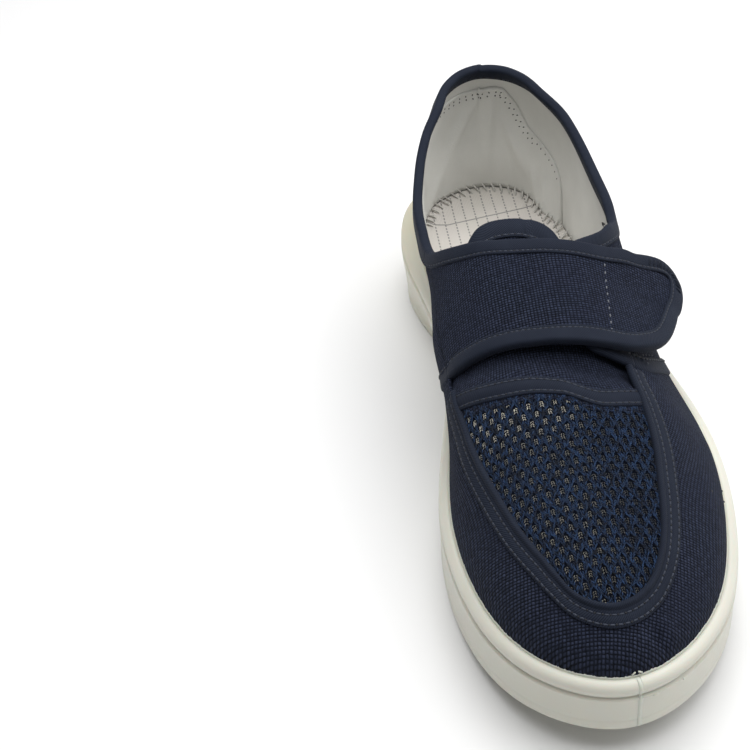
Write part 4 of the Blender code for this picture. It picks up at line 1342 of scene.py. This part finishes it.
# Apron tape's section: inside its middle line, above the canvas
APRON_SECTION = [
    (-3.75, 0.0), (-3.72, 0.55), (-3.4, 0.82), (-2.8, 0.66), (-2.2, 0.88), (-1.2, 0.92), (-0.5, 0.85),
    (0.1, 0.62), (0.7, 0.85), (1.2, 0.85), (1.45, 0.75), (1.75, 1.2), (2.2, 1.62), (2.75, 1.75),
    (3.25, 1.55), (3.6, 1.05), (3.75, 0.3), (3.6, -0.3), (0.0, -0.1),
]
APRON_STITCHES = [(-2.8, 0.78), (0.1, 0.74)]
APRON_ENDS = (179.0, 174.5)  # ridge stations of its ends, lateral and medial
SEAM_PITCH = 2.3       # of the stitches on the apron's and the throat's tape


def apron_path():
    """u and rise along the edge between canvas and plug, from its lateral end round the toe."""
    lateral, medial = np.interp(APRON_ENDS, RIDGE_AT, HALF_U)
    u = np.linspace(lateral, 1 - medial, 420)
    return u, top_rise(u)


def build_apron():
    """Tape round the plug with a roll along its inner edge and two rows of stitches."""
    u, rise = apron_path()

    def line(inside, above):
        return place(u, rise + inside, above)

    add_tape("apron_tape", "apron_stitches", line, APRON_SECTION, APRON_STITCHES, SEAM_PITCH,
             "apron_binding")


# Throat tape's section: ahead of the plug's back edge, above it
THROAT_SECTION = [
    (-2.6, -0.1), (-2.55, 0.45), (-2.2, 0.76), (-1.6, 0.42), (-1.0, 0.8), (0.3, 0.9), (1.6, 0.82),
    (2.2, 0.45), (2.75, 0.78), (3.2, 0.5), (3.3, 0.0), (0.0, -0.2),
]
THROAT_STITCHES = [(-1.6, 0.58), (2.2, 0.6)]
THROAT_ENDS = (188.0, 179.0)           # ridge stations of the plug's back corners, lateral and medial
THROAT_MARGIN = 1.6    # between the throat tape's ends and the apron edge


def throat_at(across):
    """Ridge station of the plug's back edge and the side, from the medial apron edge (-1) to the lateral."""
    way = np.where(across >= 0, 1, -1)
    return smooth(THROAT, 1, across * np.abs(edge_reach(np.where(way > 0, *THROAT_ENDS), way))), way


def throat_place(across, ahead, above):
    """Place on the throat tape."""
    throat, way = throat_at(across)
    limit = np.abs(edge_reach(throat + ahead, way)) - THROAT_MARGIN
    return instep(throat + ahead, across * limit, above)


def build_throat():
    """Tape across the back of the plug with two rows of stitches."""
    across = np.linspace(-1, 1, 121)

    def line(ahead, above):
        return throat_place(across, ahead, above)

    add_tape("throat_band", "throat_stitches", line, THROAT_SECTION, THROAT_STITCHES, SEAM_PITCH,
             "throat_tape")


# Section of the tongue's tape: part of its width inside the edge, above the outer face
TONGUE_SECTION = [
    (1.0, 0.0), (0.99, 0.5), (0.93, 0.78), (0.85, 0.45), (0.76, 0.8), (0.4, 0.9), (0.02, 0.86),
    (-0.08, 0.45), (-0.11, -0.4), (-0.11, -0.8), (-0.11, -1.2), (-0.08, -2.05), (0.02, -2.5), (0.4, -2.55),
    (0.7, -2.5), (0.7, -1.95), (0.01, -1.95), (0.01, 0.0), (0.5, 0.0),
]
TONGUE_STITCHES = [(0.85, 0.58)]
TONGUE_PITCH = 2.4


def add_flap(name, plane, lift, thickness, run, columns, node):
    """One canvas flap, its weave along its own plane."""
    along, width = run
    across = np.linspace(-1, 1, columns)
    ridge, reach = plane(along[:, None] + 0 * across, width[:, None] * across)
    outer, inner = [on_flap(lift, ridge, reach, above) for above in (thickness, 0.0)]
    cloth = np.stack([reach, ridge], axis=-1)
    sheet(name, outer, inner, cloth, CANVAS_CLOTH, stands_for=[node])


def flap_border(plane, run):
    """Border of a flap in its plane, from front to rear round the free end, with inward steps."""
    along, width = run
    there = np.stack(plane(along, -width), axis=-1)
    back = np.stack(plane(along[::-1], width[::-1]), axis=-1)[1:]
    line = np.vstack([there, back])
    run = run_along(line)
    line = soften(at_run(np.linspace(0, run[-1], 260), run, line), 20)
    step = unit(np.gradient(line, axis=0))
    inward = np.stack([-step[:, 1], step[:, 0]], axis=-1)
    middle = np.array(plane(np.array(0.5), np.array(0.0)))
    near = len(line) // 4
    if np.dot(inward[near], middle - line[near]) < 0:
        inward = -inward
    return line, inward


def bind_tongue(run):
    """Tape round the tongue's top with its row of stitches."""
    border, inward = flap_border(tongue_plane, run)

    def line(inside, above):
        ridge, reach = (border + inside * TONGUE_TAPE * inward).T
        return instep(ridge, reach, tongue_lift(ridge, reach) + WALL + above)

    add_tape("tongue_tape", "tongue_stitches", line, TONGUE_SECTION, TONGUE_STITCHES, TONGUE_PITCH,
             "tongue_binding")


TONGUE_RUN = rounded_run(48, 0.8, 14, 2.2)
STRAP_RUN = rounded_run(70, 0.85, 16, 2.5)
TAB_RUN = rounded_run(40, 0.7, 12, 2.6)
BOUND_FROM = 0.62      # part of the way along the tongue where its tape begins
COLLAR_ENDS = (111.5, 111.0)                  # ridge stations of the collar's ends, medial and lateral
QUARTER_FRONTS = [(-1, 167.5, 0.752), (1, 177.8, 0.25)]    # side, ridge station at the top, u at the sole
HOOK_SEAM = [(140.5, 22.5), (171.5, 19.0)]    # ridge station and reach of the seam across the strap
HOOK_PITCH = 2.9
HOOK_SHARE = 0.45
HOOK_SIZE = (0.56, 0.5)

# Bar tack on the lateral quarter, as lines of ridge station and reach
BAR_TACK = [((169.5, 36.0), (162.0, 47.5)), ((170.0, 35.5), (174.5, 35.0)), ((174.5, 35.8), (169.0, 40.0))]
TACK_PITCH = 2.8
TACK_SHARE = 0.6
TACK_SIZE = (0.6, 0.5)
TACK_RUN = (170.5, 172.5)    # ridge stations over which it climbs onto the tape

# Dark specks along the sole: u, rise
DARK_SPECKS = [(0.3335, 12.2), (0.3625, 3.0), (0.372, 15.0), (0.352, 1.2), (0.43, 1.0)]
SPECK_STEP = (0.0012, 0.7)   # from a speck's start to its end
SPECK_SIZE = (0.8, 0.4)

# Loose thread inside the collar: u, rise, out
THREAD_END = [
    (0.178, 36.0, -3.6), (0.174, 34.4, -3.5), (0.17, 32.6, -3.2), (0.1665, 31.2, -2.9), (0.168, 30.0, -2.7),
]
THREAD_END_SIZE = (0.7, 0.7)


def build_marks():
    """Bar tack of the quarter, a loose thread at the collar's end and dark specks along the sole."""
    rows = []
    for ends in BAR_TACK:
        ridge, reach = np.linspace(*np.array(ends), 30).T
        out = 0.15 + 0.85 * fade(*TACK_RUN, ridge)
        line = row_of(instep(ridge, reach, out), instep(ridge, reach, out + 1))
        rows.append(stitch_row(*line, TACK_PITCH, TACK_SHARE))
    add_rods("bar_tack", joined(rows), TACK_SIZE, THREAD)
    line = place(*np.array(THREAD_END).T)
    bars = (line[:-1], line[1:], upright(len(line) - 1))
    add_rods("thread_end", bars, THREAD_END_SIZE, DARK_THREAD_AND_SHADE, THREAD_BAR)
    u, rise = np.array(DARK_SPECKS).T
    starts, normals = wall_line(u, rise, 0.15)
    ends = place(u + SPECK_STEP[0], rise + SPECK_STEP[1], 0.15)
    add_rods("specks", (starts, ends, normals), SPECK_SIZE, DARK_THREAD_AND_SHADE)


def build_flaps():
    """Tongue, closure tab and strap of canvas, the tongue's tape and the seam across the strap."""
    add_flap("tongue_canvas", tongue_plane, tongue_lift, WALL, TONGUE_RUN, 49, "tongue")
    bound = TONGUE_RUN[0] >= BOUND_FROM
    bind_tongue([part[bound] for part in TONGUE_RUN])
    add_flap("tab_canvas", tab_plane, tab_lift, TAB_CLOTH, TAB_RUN, 49, "closure_tab")
    add_flap("strap_canvas", strap_plane, strap_lift, STRAP_WALL, STRAP_RUN, 53, "strap")

    ridge, reach = np.linspace(*np.array(HOOK_SEAM), 60).T
    line = row_of(*[on_flap(strap_lift, ridge, reach, STRAP_WALL + above) for above in (0.05, 1.0)])
    seam = stitch_row(*line, HOOK_PITCH, HOOK_SHARE)
    add_rods("hook_seam", seam, HOOK_SIZE, SEAM_THREAD)


# Open mesh of the plug
HOLE_PITCH = 4.4       # between holes across the shoe
HOLE_ROW = 3.3         # between rows of holes
HOLE_COUNT = 11        # holes of a row on each side of the middle
WALE = HOLE_PITCH / 2  # between the knit's wales
WALE_COUNT = 22        # wales on each side of the middle one
LOOP_PITCH = 0.82      # between the knit's loops along a wale
WALE_SWAY = 0.46
LOOP_SIZE = (0.44, 0.42)
LOOP_SCATTER = 0.05    # of loops along their wale
LOOP_STAGGER = 0.3     # of every second wale
LEG_FOOT = (0.66, 0.1)       # of a loop's legs from the wale's middle: mean, scatter
LEG_HEAD = (0.08, 0.12)
LEG_LIFT = (0.05, 0.06)      # off the plug's surface: mean, scatter
HEAD_LIFT = 0.12       # of a leg's head above its foot
LEG_PAST = (0.15, 0.2)       # of a leg past its loop at the foot and at the head
YARN_SHADE = (0.38, 0.32)    # mean, scatter
SHADE_LIMITS = (0.02, 1.2)
DASH_HALF = 0.28       # half length of the spacer yarns seen in a hole
DASH_SIZE = (0.34, 0.26)
DASH_OUT = -0.3
DASH_ACROSS = 0.36     # from the hole's middle
DASH_ALONG = 0.74      # between one and the next
DASH_LEAN = 0.2
DASH_SCATTER = (0.06, 0.08, 0.05)      # across, along, of the lean
PALE_STATIONS = (210, 194)   # over which the yarns turn pale
PALE_ACROSS = (4, -10)
MEDIAL_ACROSS = (12, -14)    # over which the other yarns grow a little paler
BACKING_OUT = -0.8
PLUG_STEP = 0.75       # of the grid that holds the plug's heights
PLUG_MIDDLE = -4.5     # across place of its middle line
PLUG_FIRST = 10        # row of the grid where the knit starts
SLOPE_STEP = 0.8       # half the run over which its slopes are measured
KNIT_MARGIN = 0.6      # inside the apron edge and the throat
YARN_SIDES = 5


class Plug:
    """The plug's surface as a cloth: p across from its middle line and q along, in millimetres."""

    def __init__(self):
        u = np.linspace(0.26, 0.74, 321)[:, None]
        points = skin(u, np.linspace(0.2, 1, 101)[None] + 0 * u)
        tree = BVHTree.FromPolygons(points.reshape(-1, 3).tolist(), grid_faces(321, 101).tolist())
        self.x = np.arange(-44, 40, PLUG_STEP)
        self.s = np.arange(165, 276, PLUG_STEP)
        heights = np.array([[self.drop(tree, x, s) for x in self.x] for s in self.s])
        for _ in range(10):
            heights[1:-1] = (heights[:-2] + 2 * heights[1:-1] + heights[2:]) / 4
            heights[:, 1:-1] = (heights[:, :-2] + 2 * heights[:, 1:-1] + heights[:, 2:]) / 4
        self.z = heights
        middle = np.argmin(np.abs(self.x - PLUG_MIDDLE))
        length = np.hypot(PLUG_STEP, np.diff(heights, axis=1))
        run = np.concatenate([np.zeros((len(self.s), 1)), np.cumsum(length, axis=1)], axis=1)
        self.p = run - run[:, middle:middle + 1]
        climb = np.hypot(PLUG_STEP, np.diff(heights[:, middle]))
        self.q = np.concatenate([[0], np.cumsum(climb)])
        self.low = self.q[PLUG_FIRST]
        self.high = self.q[-1]

    @staticmethod
    def drop(tree, x, s):
        """Height of the skin under a plan place."""
        hit = tree.ray_cast((x, s, 200.0), (0, 0, -1))[0]
        return hit[2] if hit else 30.0

    def at(self, p, q, out):
        """Points that stand off the cloth by out, and the normals there."""
        row = np.interp(q, self.q, np.arange(len(self.s)))
        i = np.clip(row.astype(int), 0, len(self.s) - 2)
        part = row - i
        x = np.zeros(len(p))
        for k in np.unique(i):
            chosen = i == k
            low = np.interp(p[chosen], self.p[k], self.x)
            high = np.interp(p[chosen], self.p[k + 1], self.x)
            x[chosen] = low + (high - low) * part[chosen]
        s = np.interp(row, np.arange(len(self.s)), self.s)
        return self.on(x, s, out)

    def height(self, x, s):
        """Height of the cloth at plan places."""
        a = np.clip((x - self.x[0]) / PLUG_STEP, 0, len(self.x) - 1.001)
        b = np.clip((s - self.s[0]) / PLUG_STEP, 0, len(self.s) - 1.001)
        i, j = a.astype(int), b.astype(int)
        da, db = a - i, b - j
        low = self.z[j, i] * (1 - da) + self.z[j, i + 1] * da
        high = self.z[j + 1, i] * (1 - da) + self.z[j + 1, i + 1] * da
        return low * (1 - db) + high * db

    def on(self, x, s, out):
        """Points above plan places, and the unit normals there."""
        run = 2 * SLOPE_STEP
        slope_x = (self.height(x + SLOPE_STEP, s) - self.height(x - SLOPE_STEP, s)) / run
        slope_s = (self.height(x, s + SLOPE_STEP) - self.height(x, s - SLOPE_STEP)) / run
        normal = unit(np.stack([-slope_x, -slope_s, np.ones_like(x)], axis=-1))
        point = np.stack([x, s, self.height(x, s)], axis=-1)
        return point + np.asarray(out)[..., None] * normal, normal


def inside_outline(outline, x, s):
    """Whether plan places lie inside a closed outline."""
    ahead = np.roll(outline, -1, axis=0)
    inside = np.zeros(len(x), bool)
    for (x0, s0), (x1, s1) in zip(outline, ahead):
        crosses = (s0 > s) != (s1 > s)
        inside ^= crosses & (x < (x1 - x0) * (s - s0) / (s1 - s0 + 1e-12) + x0)
    return inside


def plug_outline(margin):
    """Plan outline of the plug, moved in from the apron edge and the throat."""
    u, rise = apron_path()
    apron = place(u, rise + margin, 0.0)[:, :2]
    throat = throat_place(np.linspace(-1, 1, 60), margin, 0.0)[:, :2]
    return np.vstack([apron, throat])


def wale_middle(k, q):
    """Across place of a wale along the plug; wales sway apart round the staggered holes."""
    swing = np.sin(np.pi * q / HOLE_ROW)
    return k * WALE + (-1) ** k * WALE_SWAY * np.sign(swing) * np.abs(swing) ** 0.5


def build_knit(plug, outline):
    """Loops of the knitted wales, two legs each."""
    yarns = []
    loops = np.arange(plug.low, plug.high, LOOP_PITCH)
    for k in range(-WALE_COUNT, WALE_COUNT + 1):
        q = loops + random.normal(0, LOOP_SCATTER, len(loops)) + LOOP_STAGGER * (k % 2)
        for way in (-1, 1):
            foot = wale_middle(k, q) + way * random.normal(*LEG_FOOT, len(q))
            head = wale_middle(k, q + LOOP_PITCH) + way * random.normal(*LEG_HEAD, len(q))
            lift = random.normal(*LEG_LIFT, len(q))
            first, up = plug.at(foot, q - LEG_PAST[0], lift)
            last, _ = plug.at(head, q + LOOP_PITCH + LEG_PAST[1], lift + HEAD_LIFT)
            kept = inside_outline(outline, first[:, 0], first[:, 1])
            shade = np.clip(random.normal(*YARN_SHADE, kept.sum()), *SHADE_LIMITS)
            yarns.append((first[kept], last[kept], up[kept], shade))
    *bars, shades = joined(yarns)
    add_rods("mesh_knit", bars, LOOP_SIZE, YARN, THREAD_BAR, YARN_SIDES, shades, ["vamp_mesh"])


def build_spacers(plug, outline):
    """Spacer yarns seen in the holes, palest at the back of the medial side."""
    yarns = []
    first_row = np.ceil(plug.low / (2 * HOLE_ROW)) * 2
    for row in range(int((plug.high - plug.low) / HOLE_ROW) + 2):
        hole_q = (first_row + row + 0.5) * HOLE_ROW
        hole_p = (np.arange(-HOLE_COUNT, HOLE_COUNT + 1) * 2 + (row + 1) % 2 + 0.5) * WALE
        out = np.full(len(hole_p), DASH_OUT)
        for column, step in itertools.product((-1, 1), (-1, 0, 1)):
            scatter = [random.normal(0, size, len(hole_p)) for size in DASH_SCATTER]
            p = hole_p + DASH_ACROSS * column + scatter[0]
            q = hole_q + DASH_ALONG * step + scatter[1]
            lean = DASH_LEAN * column + scatter[2]
            first, up = plug.at(p - lean, q - DASH_HALF, out)
            last, _ = plug.at(p + lean, q + DASH_HALF, out)
            kept = inside_outline(outline, first[:, 0], first[:, 1])
            show = fade(*PALE_STATIONS, first[:, 1]) * fade(*PALE_ACROSS, first[:, 0])
            medial = fade(*MEDIAL_ACROSS, first[:, 0])
            dim = (0.03 + 0.22 * random.random(len(p)) ** 2) * (0.2 + 0.8 * medial) + 0.1 * medial
            shade = np.clip(dim + show * (0.3 + 0.5 * random.random(len(p))), 0, 1)
            yarns.append((first[kept], last[kept], up[kept], shade[kept]))
    *bars, shades = joined(yarns)
    add_rods("mesh_spacers", bars, DASH_SIZE, SPACER, THREAD_BAR, YARN_SIDES, shades)


def build_backing(plug):
    """Dark knit under the open mesh."""
    across = np.linspace(-1, 1, 61)
    throat, way = throat_at(across)
    part = 1 - (1 - np.linspace(0, 1, 80)[:, None]) ** 2
    ridge = throat + (RIDGE_AT[-1] - throat) * part
    reach = across * np.abs(edge_reach(ridge, way + 0 * ridge))
    plan = instep(ridge, reach, 0.0)
    x, s = plan[..., 0].ravel(), plan[..., 1].ravel()
    outer, inner = [plug.on(x, s, np.full(len(x), out))[0].reshape(plan.shape)
                    for out in (BACKING_OUT, -WALL)]
    sheet("mesh_backing", outer, inner, np.stack([reach, ridge], axis=-1), BACKING)


def build_plug():
    """Open mesh of the plug: knit, spacer yarns in its holes and a dark backing."""
    plug = Plug()
    outline = plug_outline(KNIT_MARGIN)
    build_knit(plug, outline)
    build_spacers(plug, outline)
    build_backing(plug)


# Camera: place in the shoe's millimetres, turn, height angle and roll in degrees, focal length in pixels
CAMERA_PLACE = (-76.9, 504.6, 352.6)
CAMERA_TURN = -2.18
CAMERA_RISE = 40.67
CAMERA_ROLL = -5.89
FOCAL_PIXELS = 1300
IMAGE_PIXELS = 750
SENSOR = 36.0


def add_camera():
    """Camera at the photograph's place."""
    turn, rise, roll = [math.radians(a) for a in (CAMERA_TURN, CAMERA_RISE, CAMERA_ROLL)]
    back = np.array([math.sin(turn) * math.cos(rise), -math.cos(turn) * math.cos(rise), math.sin(rise)])
    level = np.array([math.cos(turn), math.sin(turn), 0])
    steep = np.cross(back, level)
    right = math.cos(roll) * level + math.sin(roll) * steep
    up = math.cos(roll) * steep - math.sin(roll) * level
    data = bpy.data.cameras.new("camera")
    data.sensor_width = SENSOR
    data.lens = FOCAL_PIXELS / IMAGE_PIXELS * SENSOR
    camera = link("camera", data)
    axes = Matrix(np.stack([right, up, back], axis=1).tolist()).to_4x4()
    camera.matrix_world = Matrix.Translation(to_metres(CAMERA_PLACE).tolist()) @ axes
    bpy.context.scene.camera = camera


# Soft lights: place in metres, size, power in watts
LIGHTS = [("overhead", (0.12, 0.17, 0.95), 1.2, 15.5), ("side", (1.1, -0.2, 0.9), 0.8, 2.5)]
LIGHT_UP = (0.05, 1, 0.02)   # the lights' upper edges point about this way
SKY = 0.22             # strength of the even light from all round
FLOOR_HALF = 4.0       # metres


def add_stage():
    """Plain pale floor and soft studio light."""
    mesh = bpy.data.meshes.new("floor")
    corners = [(x * FLOOR_HALF, y * FLOOR_HALF, 0) for x, y in ((-1, -1), (1, -1), (1, 1), (-1, 1))]
    mesh.from_pydata(corners, [], [range(4)])
    pale = Finish("floor", {"Roughness": 0.8, "Base Color": (0.86, 0.86, 0.86, 1)})
    mesh.materials.append(pale.material)
    floor = link("floor", mesh)
    for name, where, width, power in LIGHTS:
        data = bpy.data.lights.new(name, "AREA")
        data.size = width
        data.energy = power
        light = link(name, data)
        forward = unit(-np.array(where))
        right = unit(np.cross(forward, LIGHT_UP))
        turn = Matrix(np.stack([right, np.cross(right, forward), -forward], axis=1).tolist())
        light.matrix_world = Matrix.Translation(where) @ turn.to_4x4()
    world = bpy.data.worlds.new("studio")
    world.use_nodes = True
    sky = world.node_tree.nodes["Background"]
    sky.inputs["Color"].default_value = (1, 1, 1, 1)
    sky.inputs["Strength"].default_value = SKY
    bpy.context.scene.world = world
    bpy.context.scene.view_settings.view_transform = "Standard"


build_sole()
build_sole_marks()
build_upper()
build_heel_pocket()
build_insole()
build_edge_tapes()
build_apron()
build_throat()
build_flaps()
build_marks()
build_plug()
add_camera()
add_stage()
